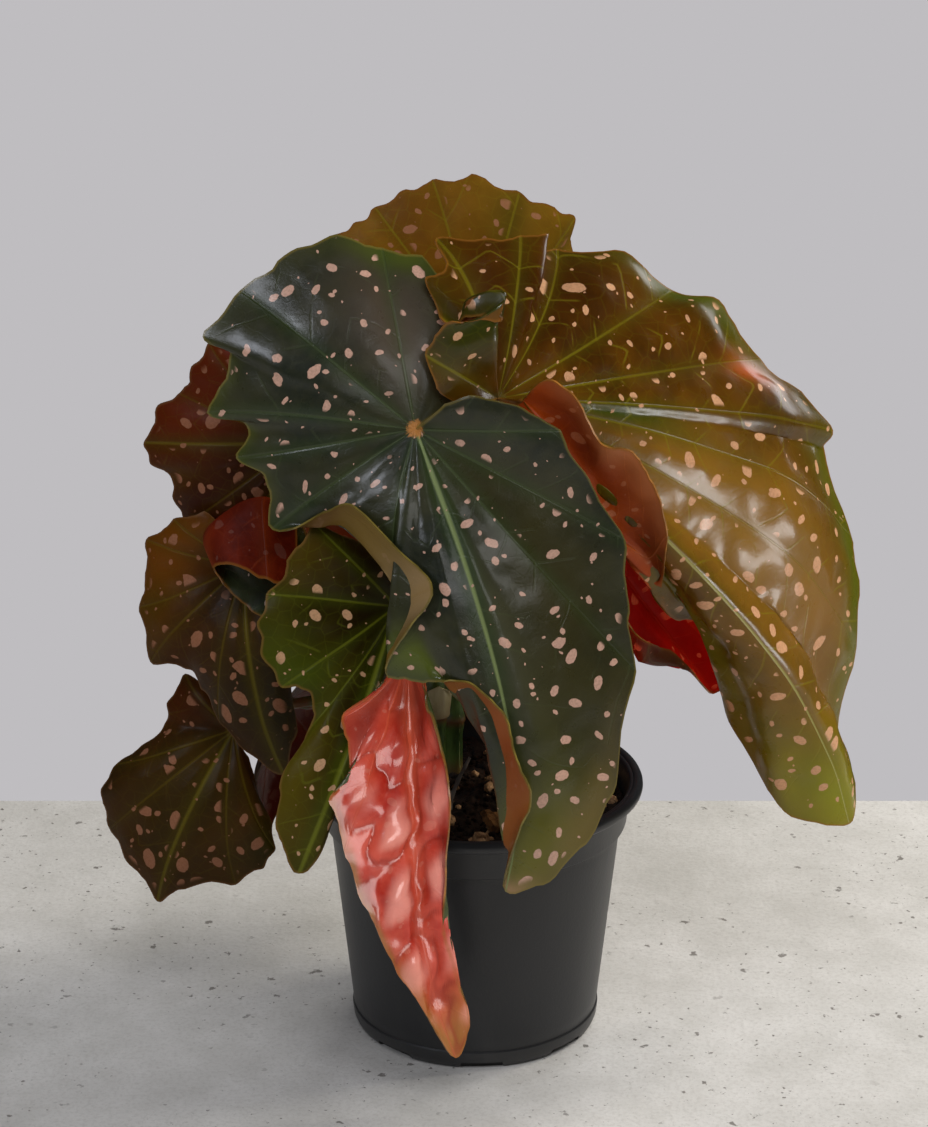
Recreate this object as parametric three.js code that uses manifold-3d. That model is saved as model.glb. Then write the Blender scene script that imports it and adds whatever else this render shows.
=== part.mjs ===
// Potted polka dot begonia: black nursery pot, gritty soil, three canes with their leaf stalks,
// and fourteen angel-wing leaf blades. Millimetres, +Z up, the pot axis is Z and the floor is Z = 0.
// +X is to the viewer's right in the reference view, +Y points away from the viewer.
import * as THREE from "three";
import { mergeVertices } from "three/addons/utils/BufferGeometryUtils.js";
import Module from "manifold-3d";

// Pot
const POT_HEIGHT = 95;
const RIM_RADIUS = 60;
const LIP_HEIGHT = 4.5;
const COLLAR_HEIGHT = 12;
const COLLAR_RADIUS = 54.2;
const BODY_TOP_RADIUS = 52.2;
const FOOT_BAND_HEIGHT = 7;
const BASE_RADIUS = 44.5;
const WALL = 1.4;
const FLOOR = 2.6;
const PAD_RADIUS = 24;
const RECESS = 1.6;
const NOTCHES = 8;
const NOTCH_WIDTH = 17;
const NOTCH_HEIGHT = 2.8;
const NOTCH_DEPTH = 5;
const POT_SEGMENTS = 40;

// Soil
const SOIL_LEVEL = 86;
const SOIL_GAP = 0.35;
const SOIL_RINGS = [12, 24, 36];
const SOIL_SECTORS = 32;
const GRAINS = 60;
const GRAIN_LARGE = 4.2;
const GRAIN_SMALL = 1.7;

// Stems
const CANE_RADIUS = 3.6;
const CANE_DEPTH = 14;
const NODE_SWELL = 1.1;
const NODE_SPAN = 3.2;
const STALK_RADIUS = 1.9;
const HOLE_GAP = 0.35;
const BLADE_GAP = 0.9;

// Blades
const BLADE = 0.8;
const RINGS = [0.3, 0.6, 0.84, 1];
const STEPS = 2;
const TIP_SPAN = 8;

const wasm = await Module();
wasm.setup();

const group = new THREE.Group();

const COLOURS = {
  pot: { color: 0x2a2b2d, roughness: 0.45, metalness: 0 },
  soil: { color: 0x1c1815, roughness: 0.95, metalness: 0 },
  cane: { color: 0x46592a, roughness: 0.5, metalness: 0 },
  twig: { color: 0x6b6259, roughness: 0.8, metalness: 0 },
  dark: { color: 0x2f3a2c, roughness: 0.35, metalness: 0 },
  olive: { color: 0x5c4d1c, roughness: 0.32, metalness: 0 },
  bronze: { color: 0x55301a, roughness: 0.4, metalness: 0 },
  green: { color: 0x46521c, roughness: 0.35, metalness: 0 },
  red: { color: 0x96301f, roughness: 0.4, metalness: 0 },
};

function random(seed) {
  let state = seed;
  return () => {
    state = (state + 0x6d2b79f5) | 0;
    let t = Math.imul(state ^ (state >>> 15), 1 | state);
    t = (t + Math.imul(t ^ (t >>> 7), 61 | t)) ^ t;
    return ((t ^ (t >>> 14)) >>> 0) / 4294967296;
  };
}

function solid(geometry) {
  const bare = geometry.clone();
  bare.deleteAttribute("normal");
  bare.deleteAttribute("uv");
  const merged = mergeVertices(bare, 1e-3);
  return new wasm.Manifold(
    new wasm.Mesh({
      numProp: 3,
      vertProperties: new Float32Array(merged.attributes.position.array),
      triVerts: new Uint32Array(merged.index.array),
    }),
  );
}

function surfaceOf(shape) {
  const mesh = shape.getMesh();
  const geometry = new THREE.BufferGeometry();
  geometry.setAttribute("position", new THREE.BufferAttribute(mesh.vertProperties, 3));
  geometry.setIndex(new THREE.BufferAttribute(mesh.triVerts, 1));
  geometry.computeVertexNormals();
  return geometry;
}

function add(name, geometry, look) {
  const mesh = new THREE.Mesh(geometry, new THREE.MeshStandardMaterial(COLOURS[look]));
  mesh.name = name;
  group.add(mesh);
}

function trianglesFrom(points, faces) {
  const geometry = new THREE.BufferGeometry();
  const flat = points.flatMap((p) => [p.x, p.y, p.z]);
  geometry.setAttribute("position", new THREE.Float32BufferAttribute(flat, 3));
  geometry.setIndex(faces);
  geometry.computeVertexNormals();
  return geometry;
}

// ---- Pot -------------------------------------------------------------------------------------

function potRadius(z) {
  const top = POT_HEIGHT - LIP_HEIGHT - COLLAR_HEIGHT;
  return BASE_RADIUS + ((BODY_TOP_RADIUS - BASE_RADIUS) * (z - FOOT_BAND_HEIGHT)) / (top - FOOT_BAND_HEIGHT);
}

function pot() {
  const underLip = POT_HEIGHT - LIP_HEIGHT;
  const underCollar = underLip - COLLAR_HEIGHT;
  const lipInner = RIM_RADIUS - 6;
  const profile = [
    [0, 0],
    [PAD_RADIUS, 0],
    [PAD_RADIUS + 1, RECESS],
    [PAD_RADIUS + 12, RECESS],
    [PAD_RADIUS + 13, 0],
    [BASE_RADIUS - 3, 0],
    [BASE_RADIUS - 0.9, 0.9],
    [BASE_RADIUS + 0.3, 3],
    [BASE_RADIUS + 0.5, FOOT_BAND_HEIGHT - 0.4],
    [BASE_RADIUS, FOOT_BAND_HEIGHT],
    [potRadius(underCollar) - 0.2, underCollar],
    [COLLAR_RADIUS, underCollar + 0.5],
    [COLLAR_RADIUS + 1.4, underLip],
    [RIM_RADIUS - 1.4, underLip + 0.2],
    [RIM_RADIUS - 0.3, underLip + 1.2],
    [RIM_RADIUS, POT_HEIGHT - 2],
    [RIM_RADIUS - 0.7, POT_HEIGHT - 0.5],
    [RIM_RADIUS - 2, POT_HEIGHT],
    [RIM_RADIUS - 3.4, POT_HEIGHT - 0.4],
    [lipInner + 1.3, POT_HEIGHT - 1.6],
    [lipInner + 0.2, POT_HEIGHT - 3],
    [COLLAR_RADIUS - WALL, underCollar + 1.5],
    [potRadius(underCollar) - WALL, underCollar - 1.5],
    [potRadius(FOOT_BAND_HEIGHT) - WALL, FOOT_BAND_HEIGHT],
    [BASE_RADIUS - WALL - 2, FLOOR],
    [0, FLOOR],
  ];
  const body = solid(
    new THREE.LatheGeometry(
      profile.map(([r, z]) => new THREE.Vector2(r, z)),
      POT_SEGMENTS,
    ).rotateX(Math.PI / 2),
  );
  let cut = body;
  for (let i = 0; i < NOTCHES; i += 1) {
    const notch = new THREE.BoxGeometry(NOTCH_WIDTH, NOTCH_DEPTH, 2 * NOTCH_HEIGHT);
    notch.translate(0, -(BASE_RADIUS + 1.2), 0);
    notch.rotateZ((i * 2 * Math.PI) / NOTCHES + 0.05);
    cut = cut.subtract(solid(notch));
  }
  add("pot", surfaceOf(cut), "pot");
}

// ---- Stems -----------------------------------------------------------------------------------

const vec = ([x, y, z]) => new THREE.Vector3(x, y, z);

// A closed tube along a smooth path: radiusAt gives the radius at each share of the length.
function stem(points, radiusAt, sides, steps) {
  const curve = new THREE.CatmullRomCurve3(points.map(vec), false, "centripetal");
  const frames = curve.computeFrenetFrames(steps, false);
  const rings = [];
  for (let i = 0; i <= steps; i += 1) {
    const centre = curve.getPointAt(i / steps);
    for (let j = 0; j < sides; j += 1) {
      const angle = (j * 2 * Math.PI) / sides;
      const out = frames.normals[i].clone().multiplyScalar(Math.cos(angle));
      out.addScaledVector(frames.binormals[i], Math.sin(angle));
      rings.push(centre.clone().addScaledVector(out, radiusAt(i / steps)));
    }
  }
  const head = curve.getPointAt(0);
  const tail = curve.getPointAt(1);
  const all = [...rings, head, tail];
  const faces = [];
  const at = (i, j) => i * sides + (j % sides);
  for (let j = 0; j < sides; j += 1) {
    faces.push(all.length - 2, at(0, j + 1), at(0, j));
    faces.push(all.length - 1, at(steps, j), at(steps, j + 1));
    for (let i = 0; i < steps; i += 1) {
      faces.push(at(i, j), at(i, j + 1), at(i + 1, j + 1));
      faces.push(at(i, j), at(i + 1, j + 1), at(i + 1, j));
    }
  }
  return trianglesFrom(all, faces);
}

// ---- Soil ------------------------------------------------------------------------------------

function soilHeight(x, y) {
  const slow = 1.1 * Math.sin(x / 11 + 1.3) * Math.cos(y / 9 - 0.6);
  const quick = 0.6 * Math.sin(x / 4.1 - y / 5.3);
  return SOIL_LEVEL + slow + quick;
}

function soil(holes) {
  const top = potRadius(SOIL_LEVEL) - WALL - SOIL_GAP;
  const rings = [...SOIL_RINGS, top - 1.6];
  const points = [new THREE.Vector3(0, 0, soilHeight(0, 0))];
  const walls = [
    [top - 1.2, SOIL_LEVEL - 6],
    [potRadius(40) - WALL - SOIL_GAP - 0.4, 40],
    [potRadius(FOOT_BAND_HEIGHT) - WALL - SOIL_GAP - 0.6, FOOT_BAND_HEIGHT + 1],
    [BASE_RADIUS - WALL - 4, FLOOR + SOIL_GAP],
  ];
  const rows = rings.length + walls.length;
  for (let i = 0; i < rows; i += 1) {
    for (let j = 0; j < SOIL_SECTORS; j += 1) {
      const angle = (j * 2 * Math.PI) / SOIL_SECTORS;
      const radius = i < rings.length ? rings[i] : walls[i - rings.length][0];
      const x = radius * Math.cos(angle);
      const y = radius * Math.sin(angle);
      const z = i < rings.length ? soilHeight(x, y) : walls[i - rings.length][1];
      points.push(new THREE.Vector3(x, y, z));
    }
  }
  points.push(new THREE.Vector3(0, 0, FLOOR + SOIL_GAP));
  const faces = [];
  const at = (i, j) => 1 + i * SOIL_SECTORS + (j % SOIL_SECTORS);
  for (let j = 0; j < SOIL_SECTORS; j += 1) {
    faces.push(0, at(0, j), at(0, j + 1));
    faces.push(points.length - 1, at(rows - 1, j + 1), at(rows - 1, j));
    for (let i = 0; i + 1 < rows; i += 1) {
      faces.push(at(i, j), at(i + 1, j), at(i + 1, j + 1));
      faces.push(at(i, j), at(i + 1, j + 1), at(i, j + 1));
    }
  }
  let body = solid(trianglesFrom(points, faces));
  const pick = random(11);
  let placed = 0;
  while (placed < GRAINS) {
    const size = GRAIN_SMALL + (GRAIN_LARGE - GRAIN_SMALL) * pick() ** 1.6;
    const radius = (top - 2.2 - size) * Math.sqrt(pick());
    const angle = 2 * Math.PI * pick();
    const x = radius * Math.cos(angle);
    const y = radius * Math.sin(angle);
    const spin = [pick() * 3, pick() * 3, pick() * 3];
    const flat = 0.65 + 0.3 * pick();
    const near = holes.some((h) => Math.hypot(h.x - x, h.y - y) < h.radius + size + 1);
    if (near) continue;
    const grain = new THREE.IcosahedronGeometry(size, 0);
    grain.scale(1, 0.8, flat);
    grain.rotateX(spin[0]).rotateY(spin[1]).rotateZ(spin[2]);
    grain.translate(x, y, soilHeight(x, y) - 0.15 * size);
    body = body.add(solid(grain));
    placed += 1;
  }
  const scrap = new THREE.BoxGeometry(15, 9, 3);
  scrap.rotateX(0.5).rotateY(0.35).rotateZ(0.7);
  scrap.translate(9, -26, SOIL_LEVEL + 1.2);
  body = body.add(solid(scrap));
  for (const hole of holes) {
    const bore = new THREE.CylinderGeometry(hole.radius, hole.radius, 60, 12).rotateX(Math.PI / 2);
    bore.translate(hole.x, hole.y, SOIL_LEVEL - hole.depth + 30);
    body = body.subtract(solid(bore));
  }
  add("soil", surfaceOf(body), "soil");
}

// ---- Blades ----------------------------------------------------------------------------------
// A blade is a fan of ribs that leave the stalk end. Each rib row holds the millimetre position of
// its tip on the margin; a row of six holds the fold of a rolled margin, then the margin itself.
// side is the turn that brings the upper face outwards, bow lifts the middle of each rib by a
// share of its length, puff raises the blade between ribs and scallop cuts the margin between them.

function spread(rows, m, pick) {
  const last = rows.length - 1;
  const k = Math.min(Math.floor(m), last - 1);
  const t = m - k;
  const p = (i) => pick(rows[THREE.MathUtils.clamp(i, 0, last)]);
  const [a, b, c, d] = [p(k - 1), p(k), p(k + 1), p(k + 2)];
  const step = b.distanceTo(c);
  const tangent = (from, mid, to) => {
    const near = mid.distanceTo(from);
    const far = mid.distanceTo(to);
    const along = to.clone().sub(from);
    const reach = along.length();
    return reach < 1e-6 ? along : along.multiplyScalar(Math.min(near || step, far || step, step) / reach);
  };
  const out = b.clone().multiplyScalar(2 * t ** 3 - 3 * t ** 2 + 1);
  out.addScaledVector(tangent(a, b, c), t ** 3 - 2 * t ** 2 + t);
  out.addScaledVector(c, -2 * t ** 3 + 3 * t ** 2);
  out.addScaledVector(tangent(b, c, d), t ** 3 - t ** 2);
  return out;
}

// Rib headings in rising order that stay as near as they can to the given ones, each at least its
// gap after the last.
function evenFan(angles, gaps) {
  const least = [0];
  for (const gap of gaps) least.push(least[least.length - 1] + gap);
  const runs = [];
  angles.forEach((angle, i) => {
    runs.push([angle - least[i], 1]);
    while (runs.length > 1 && runs[runs.length - 2][0] > runs[runs.length - 1][0]) {
      const [b, n] = runs.pop();
      const [a, m] = runs.pop();
      runs.push([(a * m + b * n) / (m + n), m + n]);
    }
  });
  let even = runs.flatMap(([value, n]) => Array(n).fill(value)).map((value, i) => value + least[i]);
  for (let pass = 0; pass < 2; pass += 1) {
    const last = even;
    even = last.map((value, i) => {
      const inside = i > 0 && i + 1 < last.length;
      return inside ? (last[i - 1] + 2 * value + last[i + 1]) / 4 : value;
    });
  }
  return even;
}

// The turn of each rib about the face direction between its tip and the stalk end. hold is the
// share of its turn that the rib to the blade's tip loses.
function ribTurns(chords, hems, face, tip, hold) {
  const right = new THREE.Vector3().crossVectors(face, new THREE.Vector3(0, 0.3, 1)).normalize();
  const ahead = new THREE.Vector3().crossVectors(face, right);
  const angles = chords.map((chord) => Math.atan2(chord.dot(ahead), chord.dot(right)));
  for (let i = 1; i < angles.length; i += 1) {
    angles[i] -= 2 * Math.PI * Math.round((angles[i] - angles[i - 1]) / (2 * Math.PI));
  }
  const way = angles[angles.length - 1] > angles[0] ? 1 : -1;
  const gaps = [];
  for (let i = 0; i + 1 < chords.length; i += 1) {
    const reach = (chords[i].length() + chords[i + 1].length()) / 2;
    const apart = hems[i].distanceTo(hems[i + 1]);
    gaps.push(THREE.MathUtils.clamp((0.5 * apart) / reach, 0.01, 0.07));
  }
  const even = evenFan(angles.map((angle) => way * angle), gaps);
  const turns = angles.map((angle, i) => THREE.MathUtils.clamp(way * even[i] - angle, -0.3, 0.3));
  return turns.map((turn, i) => turn - hold * turns[tip] * Math.exp(-(((i - tip) / TIP_SPAN) ** 2)));
}

function bladeGrid(leaf, rings, steps) {
  const base = vec(leaf.base);
  const tips = leaf.ribs.map((r) => vec(r));
  const face = new THREE.Vector3();
  for (let i = 0; i + 1 < tips.length; i += 1) {
    const turn = tips[i].clone().sub(base).cross(tips[i + 1].clone().sub(base));
    face.addScaledVector(turn, leaf.side);
  }
  face.normalize();
  const chords = tips.map((tip) => tip.clone().sub(base));
  const hems = leaf.ribs.map((row) => vec(row.slice(-3)));
  const turns = ribTurns(chords, hems, face, leaf.tip ?? 0, leaf.hold ?? 0);
  const ribs = leaf.ribs.map((row, i) => {
    const rise = leaf.bow * chords[i].length();
    const on = (share, lift) => {
      const chord = chords[i].clone().applyAxisAngle(face, turns[i] * (1 - share ** 2.5));
      return base.clone().addScaledVector(chord, share).addScaledVector(face, rise * lift);
    };
    if (row.length === 6) {
      return { near: on(0.4, 0.9), far: on(0.75, 0.8), fold: tips[i], hem: vec(row.slice(3)) };
    }
    return { near: on(0.34, 0.9), far: on(0.66, 0.95), fold: on(0.87, 0.5), hem: tips[i] };
  });
  const knots = [0, 0.33, 0.66, 0.87, 1];
  const along = (m, u) => {
    const stops = [base, ...["near", "far", "fold", "hem"].map((part) => spread(ribs, m, (r) => r[part]))];
    let k = 0;
    while (k < 3 && u > knots[k + 1]) k += 1;
    const t = (u - knots[k]) / (knots[k + 1] - knots[k]);
    const slope = (i) => {
      const lo = Math.max(0, i - 1);
      const hi = Math.min(4, i + 1);
      return stops[hi].clone().sub(stops[lo]).divideScalar(knots[hi] - knots[lo]);
    };
    const width = knots[k + 1] - knots[k];
    const out = stops[k].clone().multiplyScalar(2 * t ** 3 - 3 * t ** 2 + 1);
    out.addScaledVector(slope(k), width * (t ** 3 - 2 * t ** 2 + t));
    out.addScaledVector(stops[k + 1], -2 * t ** 3 + 3 * t ** 2);
    out.addScaledVector(slope(k + 1), width * (t ** 3 - t ** 2));
    return out;
  };
  const grid = [];
  const columns = (leaf.ribs.length - 1) * steps;
  for (let j = 0; j <= columns; j += 1) {
    const m = j / steps;
    const between = Math.sin(Math.PI * (m - Math.floor(m))) ** 2;
    const k = Math.min(Math.floor(m), ribs.length - 2);
    const width = ribs[k].hem.distanceTo(ribs[k + 1].hem);
    const reach = spread(ribs, m, (r) => r.hem).distanceTo(base);
    const rolled = leaf.ribs[k].length === 6 || leaf.ribs[k + 1].length === 6;
    const notch = Math.min(leaf.scallop * width, 4) * (rolled ? 0.25 : 1);
    const cut = (between * notch) / Math.max(reach, 8);
    const column = rings.map((u) => {
      const point = along(m, u * (1 - cut));
      return point.addScaledVector(face, leaf.puff * (between - 0.5) * Math.min(width / 14, 1.4) * u * u);
    });
    grid.push(column);
  }
  return { base, grid, face };
}

function bladeSolid(leaf) {
  const rings = leaf.rings ?? RINGS;
  const { base, grid, face } = bladeGrid(leaf, rings, leaf.steps ?? STEPS);
  const columns = grid.length;
  const rows = rings.length;
  const points = [base, ...grid.flat()];
  const at = (i, j) => 1 + j * rows + i;
  const upper = [];
  const tri = (a, b, c) => upper.push(leaf.side > 0 ? [a, b, c] : [a, c, b]);
  for (let j = 0; j + 1 < columns; j += 1) {
    tri(0, at(0, j), at(0, j + 1));
    for (let i = 0; i + 1 < rows; i += 1) {
      const diagonal = points[at(i, j)].distanceTo(points[at(i + 1, j + 1)]);
      const other = points[at(i + 1, j)].distanceTo(points[at(i, j + 1)]);
      if (diagonal < other) {
        tri(at(i, j), at(i + 1, j), at(i + 1, j + 1));
        tri(at(i, j), at(i + 1, j + 1), at(i, j + 1));
      } else {
        tri(at(i, j), at(i + 1, j), at(i, j + 1));
        tri(at(i + 1, j), at(i + 1, j + 1), at(i, j + 1));
      }
    }
  }
  const normals = points.map(() => new THREE.Vector3());
  for (const [a, b, c] of upper) {
    const turn = points[b].clone().sub(points[a]).cross(points[c].clone().sub(points[a]));
    for (const i of [a, b, c]) normals[i].add(turn);
  }
  normals[0].copy(face);
  normals.forEach((n) => n.normalize());
  const total = points.length;
  const both = [
    ...points.map((p, i) => p.clone().addScaledVector(normals[i], BLADE / 2)),
    ...points.map((p, i) => p.clone().addScaledVector(normals[i], -BLADE / 2)),
  ];
  const edge = [0];
  for (let i = 0; i < rows; i += 1) edge.push(at(i, 0));
  for (let j = 1; j < columns; j += 1) edge.push(at(rows - 1, j));
  for (let i = rows - 2; i >= 0; i -= 1) edge.push(at(i, columns - 1));
  const faces = [];
  for (const [a, b, c] of upper) {
    faces.push(a, b, c);
    faces.push(a + total, c + total, b + total);
  }
  edge.forEach((from, i) => {
    const to = edge[(i + 1) % edge.length];
    if (leaf.side > 0) faces.push(from, from + total, to + total, from, to + total, to);
    else faces.push(from, to + total, from + total, from, to, to + total);
  });
  const along = new THREE.Vector3();
  for (const column of grid) along.add(column[rows - 1].clone().sub(base));
  along.normalize();
  return { shape: solid(trianglesFrom(both, faces)), base, face, along, under: leaf.under ?? 0.7 };
}

// An angel-wing outline as [direction in degrees from the tip, reach in mm] pairs, from the narrow
// side of the sinus round the tip to the rounded ear on the other side.
const WING = [
  [-112, 20], [-88, 44], [-66, 66], [-46, 90], [-27, 122], [-10, 150], [0, 166], [10, 128],
  [26, 92], [48, 74], [72, 74], [98, 80], [124, 84], [150, 80], [176, 66], [204, 38],
];

// turn holds the heading of the tip, its dip below level and the roll about the midrib, in degrees.
function wingRibs({ base, turn, size, hand, droop }) {
  const [heading, dip, roll] = turn.map(THREE.MathUtils.degToRad);
  const frame = new THREE.Matrix4().makeRotationZ(heading);
  frame.multiply(new THREE.Matrix4().makeRotationY(dip));
  frame.multiply(new THREE.Matrix4().makeRotationX(roll));
  return WING.map(([angle, reach]) => {
    const a = THREE.MathUtils.degToRad(angle);
    const sag = THREE.MathUtils.degToRad(droop) * (0.55 + 0.45 * Math.cos(a));
    const flat = size * reach * Math.cos(sag);
    const drop = size * reach * Math.sin(sag);
    const tip = new THREE.Vector3(flat * Math.cos(a), hand * flat * Math.sin(a), -drop);
    return tip.applyMatrix4(frame).add(vec(base)).toArray();
  });
}

const LEAVES = [
  {
    name: "leaf_front", look: "dark", side: -1, bow: 0.07, puff: 1.3, scallop: 0.09,
    base: [-20, -50, 239],
    ribs: [
      [-10, -55, 249], [0, -58, 253], [14, -61, 250], [27, -62, 242], [37, -61, 225], [49, -61, 204],
      [50, -63, 183], [53, -66, 160], [46, -73, 123], [38, -79, 106], [24, -87, 94], [10, -88, 90],
      [9, -87, 108, 14, -96, 117], [8, -85, 123, 18, -95, 128], [6, -83, 136, 12, -93, 142],
      [-1, -79, 148, 10, -89, 152], [-4, -77, 153, 5, -86, 158], [-8, -75, 156, -3, -82, 163],
      [-17, -73, 159], [-30, -73, 162], [-29, -71, 171, -21, -78, 180], [-25, -66, 186, -14, -76, 193],
      [-34, -61, 199, -25, -71, 204], [-45, -56, 207, -40, -65, 218], [-53, -52, 206, -50, -58, 213],
      [-68, -47, 203], [-70, -45, 220], [-80, -41, 226], [-76, -40, 237], [-89, -38, 241],
      [-81, -36, 261], [-90, -34, 266], [-78, -30, 281], [-61, -27, 293], [-46, -25, 298],
      [-31, -25, 294], [-18, -25, 291], [-9, -29, 281], [-4, -33, 266], [-3, -40, 249],
    ],
  },
  {
    name: "leaf_right", look: "olive", side: 1, bow: 0.07, puff: 1.2, scallop: 0.09,
    tip: 15, hold: 0.6, base: [7, -45, 248],
    ribs: [
      [14, -50, 248], [17, -53, 250, 23, -60, 259], [28, -50, 238, 32, -61, 253],
      [39, -44, 220, 40, -57, 236], [44, -41, 210, 51, -55, 233], [50, -37, 198, 59, -51, 219],
      [58, -31, 189, 64, -45, 202], [62, -26, 178, 64, -35, 188], [64, -20, 169], [69, -14, 160],
      [80, -9, 156], [86, -6, 144], [90, -3, 120], [101, -4, 98], [113, -6, 81], [134, -10, 79],
      [135, 0, 91], [129, 5, 106], [136, 9, 136], [136, 13, 161], [133, 15, 180], [121, 17, 212],
      [124, 17, 218], [112, 18, 231], [99, 18, 244], [84, 18, 265], [68, 16, 269], [51, 12, 284],
      [28, 3, 287], [20, -3, 289], [24, -6, 294], [15, -11, 295], [3, -17, 295], [-13, -23, 297],
      [-10, -30, 289], [-17, -36, 286], [-10, -42, 275], [-3, -46, 282, -4, -50, 277],
      [9, -49, 283, 8, -53, 276], [-10, -53, 276], [-17, -53, 265], [-12, -52, 252], [-1, -49, 245],
    ],
  },
  {
    name: "leaf_top", look: "olive", side: -1, bow: 0.1, puff: 1.4, scallop: 0.14,
    base: [-2, 22, 253],
    ribs: [
      [-13, 26, 241], [-30, 24, 249], [-47, 20, 268], [-50, 18, 287], [-42, 18, 292], [-35, 18, 298],
      [-26, 19, 303], [-15, 20, 307], [0, 22, 308], [15, 24, 302], [25, 26, 297], [35, 28, 292],
      [33, 33, 281], [40, 42, 265], [46, 52, 243], [44, 64, 215], [31, 68, 201], [18, 58, 215],
      [9, 40, 234],
    ],
  },
  {
    name: "leaf_left_upper", look: "bronze", side: 1, bow: 0.13, puff: 1.4, scallop: 0.16,
    base: [-60, -8, 222],
    ribs: [
      [-60, -8, 237], [-70, -8, 251], [-83, -6, 258], [-91, -4, 256], [-96, -2, 247], [-102, 0, 237],
      [-109, 2, 232], [-115, 4, 218], [-112, 2, 211], [-106, 0, 208], [-105, -1, 199], [-101, -3, 190],
      [-90, -6, 186], [-78, -10, 191], [-66, -11, 202],
    ],
  },
  {
    name: "leaf_left_middle", look: "bronze", side: 1, bow: 0.14, puff: 1.4, scallop: 0.18,
    base: [-80, -13, 179],
    ribs: [
      [-82, -16, 191], [-93, -14, 199], [-105, -10, 195], [-115, -4, 185], [-115, -5, 172],
      [-118, -7, 161], [-114, -11, 142], [-101, -15, 141], [-96, -18, 135], [-90, -21, 123],
      [-81, -23, 114], [-67, -25, 105], [-62, -27, 123], [-63, -26, 145], [-66, -22, 166],
    ],
  },
  {
    name: "leaf_left_lower", look: "bronze", side: 1, bow: 0.14, puff: 1.4, scallop: 0.16,
    base: [-86, -2, 113],
    ribs: [
      [-93, 4, 126], [-104, 8, 131], [-110, 8, 119], [-111, 6, 111], [-120, 5, 104], [-130, 4, 97],
      [-134, 2, 87], [-133, 0, 73], [-125, -4, 63], [-115, -8, 48], [-106, -10, 54], [-86, -12, 56],
      [-76, -12, 64], [-71, -11, 70], [-73, -8, 80], [-78, -6, 89], [-81, -4, 103],
    ],
  },
  {
    name: "leaf_centre", look: "green", side: 1, bow: 0.12, puff: 1.4, scallop: 0.14,
    base: [-27, -38, 173],
    ribs: [
      [-28, -38, 185], [-40, -42, 197], [-54, -47, 206], [-62, -49, 195], [-70, -51, 182],
      [-73, -53, 172], [-72, -55, 162], [-66, -58, 151], [-59, -59, 151], [-55, -60, 145],
      [-57, -62, 137], [-65, -66, 122], [-67, -69, 105], [-60, -72, 89], [-50, -70, 102],
      [-44, -62, 119], [-37, -54, 132], [-28, -46, 144], [-24, -40, 155],
    ],
  },
  {
    name: "leaf_hanging", look: "red", side: 1, under: 0, bow: -0.04, puff: -1.0, scallop: 0.1,
    base: [-23, -54, 161],
    ribs: [
      [-17, -58, 156], [-17, -64, 147], [-12, -69, 134], [-9, -72, 116], [-10, -74, 95], [-11, -74, 69],
      [-6, -74, 49], [-2, -74, 35], [-7, -74, 21], [-17, -79, 40], [-26, -80, 55], [-31, -80, 66],
      [-39, -80, 84], [-44, -80, 101], [-49, -78, 119], [-42, -74, 124], [-45, -68, 145],
      [-33, -62, 150], [-28, -56, 159],
    ],
  },
  {
    name: "leaf_curled", look: "red", side: 1, bow: 0.06, puff: 1.6, scallop: 0.12,
    base: [-50, -22, 175],
    ribs: [
      [-58, -22, 191], [-72, -24, 206, -70, -33, 181], [-83, -24, 203, -80, -33, 187],
      [-92, -24, 192, -88, -31, 185], [-84, -27, 174], [-74, -31, 167], [-60, -32, 159],
      [-52, -28, 163],
    ],
  },
  {
    name: "leaf_red", look: "red", side: 1, under: 0.2, bow: 0.05, puff: -1.8, scallop: 0.12,
    base: [39, -20, 195],
    ribs: [
      [42, -18, 206], [56, -10, 203], [71, -1, 192], [86, 8, 173], [94, 14, 151], [96, 14, 127],
      [87, 8, 123], [74, -2, 136, 69, -5, 144], [58, -12, 144, 60, -15, 152], [50, -18, 161],
      [42, -20, 175],
    ],
  },
  {
    name: "leaf_back_left", look: "olive", side: 1, bow: 0.08, puff: 1.6, scallop: 0.14,
    wing: { base: [-40, 46, 206], turn: [138, 42, 10], size: 0.72, hand: 1, droop: 24 },
  },
  {
    name: "leaf_back", look: "bronze", side: 1, bow: 0.08, puff: 1.6, scallop: 0.14,
    wing: { base: [-4, 66, 160], turn: [102, 46, 4], size: 0.58, hand: 1, droop: 26 },
  },
  {
    name: "leaf_back_right", look: "olive", side: -1, bow: 0.08, puff: 1.6, scallop: 0.14,
    wing: { base: [38, 48, 203], turn: [62, 44, -8], size: 0.6, hand: -1, droop: 24 },
  },
  {
    name: "leaf_low", look: "bronze", side: -1, bow: 0.08, puff: 1.4, scallop: 0.14,
    wing: { base: [-68, 22, 114], turn: [156, 50, 0], size: 0.38, hand: -1, droop: 30 },
  },
];

// ---- Assembly --------------------------------------------------------------------------------

const CANES = [
  {
    name: "cane_left", foot: [-14, -1], path: [[-14, -1, 110], [-15, -2, 150], [-17, -6, 196]],
    nodes: [118, 146, 172],
    stalks: { leaf_front: 190, leaf_centre: 148, leaf_hanging: 138, leaf_curled: 160 },
  },
  {
    name: "cane_right", foot: [12, 10], path: [[13, 10, 110], [16, 9, 160], [18, 6, 208]],
    nodes: [112, 140, 170],
    stalks: { leaf_right: 200, leaf_red: 168, leaf_back_right: 158 },
  },
  {
    name: "cane_back", foot: [-8, 24], path: [[-8, 25, 110], [-8, 27, 160], [-6, 28, 216]],
    nodes: [106, 134, 166, 192],
    stalks: {
      leaf_top: 212, leaf_left_upper: 186, leaf_left_middle: 150, leaf_left_lower: 112,
      leaf_back_left: 184, leaf_back: 144, leaf_low: 114,
    },
  },
];

const TWIG = { foot: [-9, -12], tip: [-2, -6, 104], radius: 0.9, depth: 6 };

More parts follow.
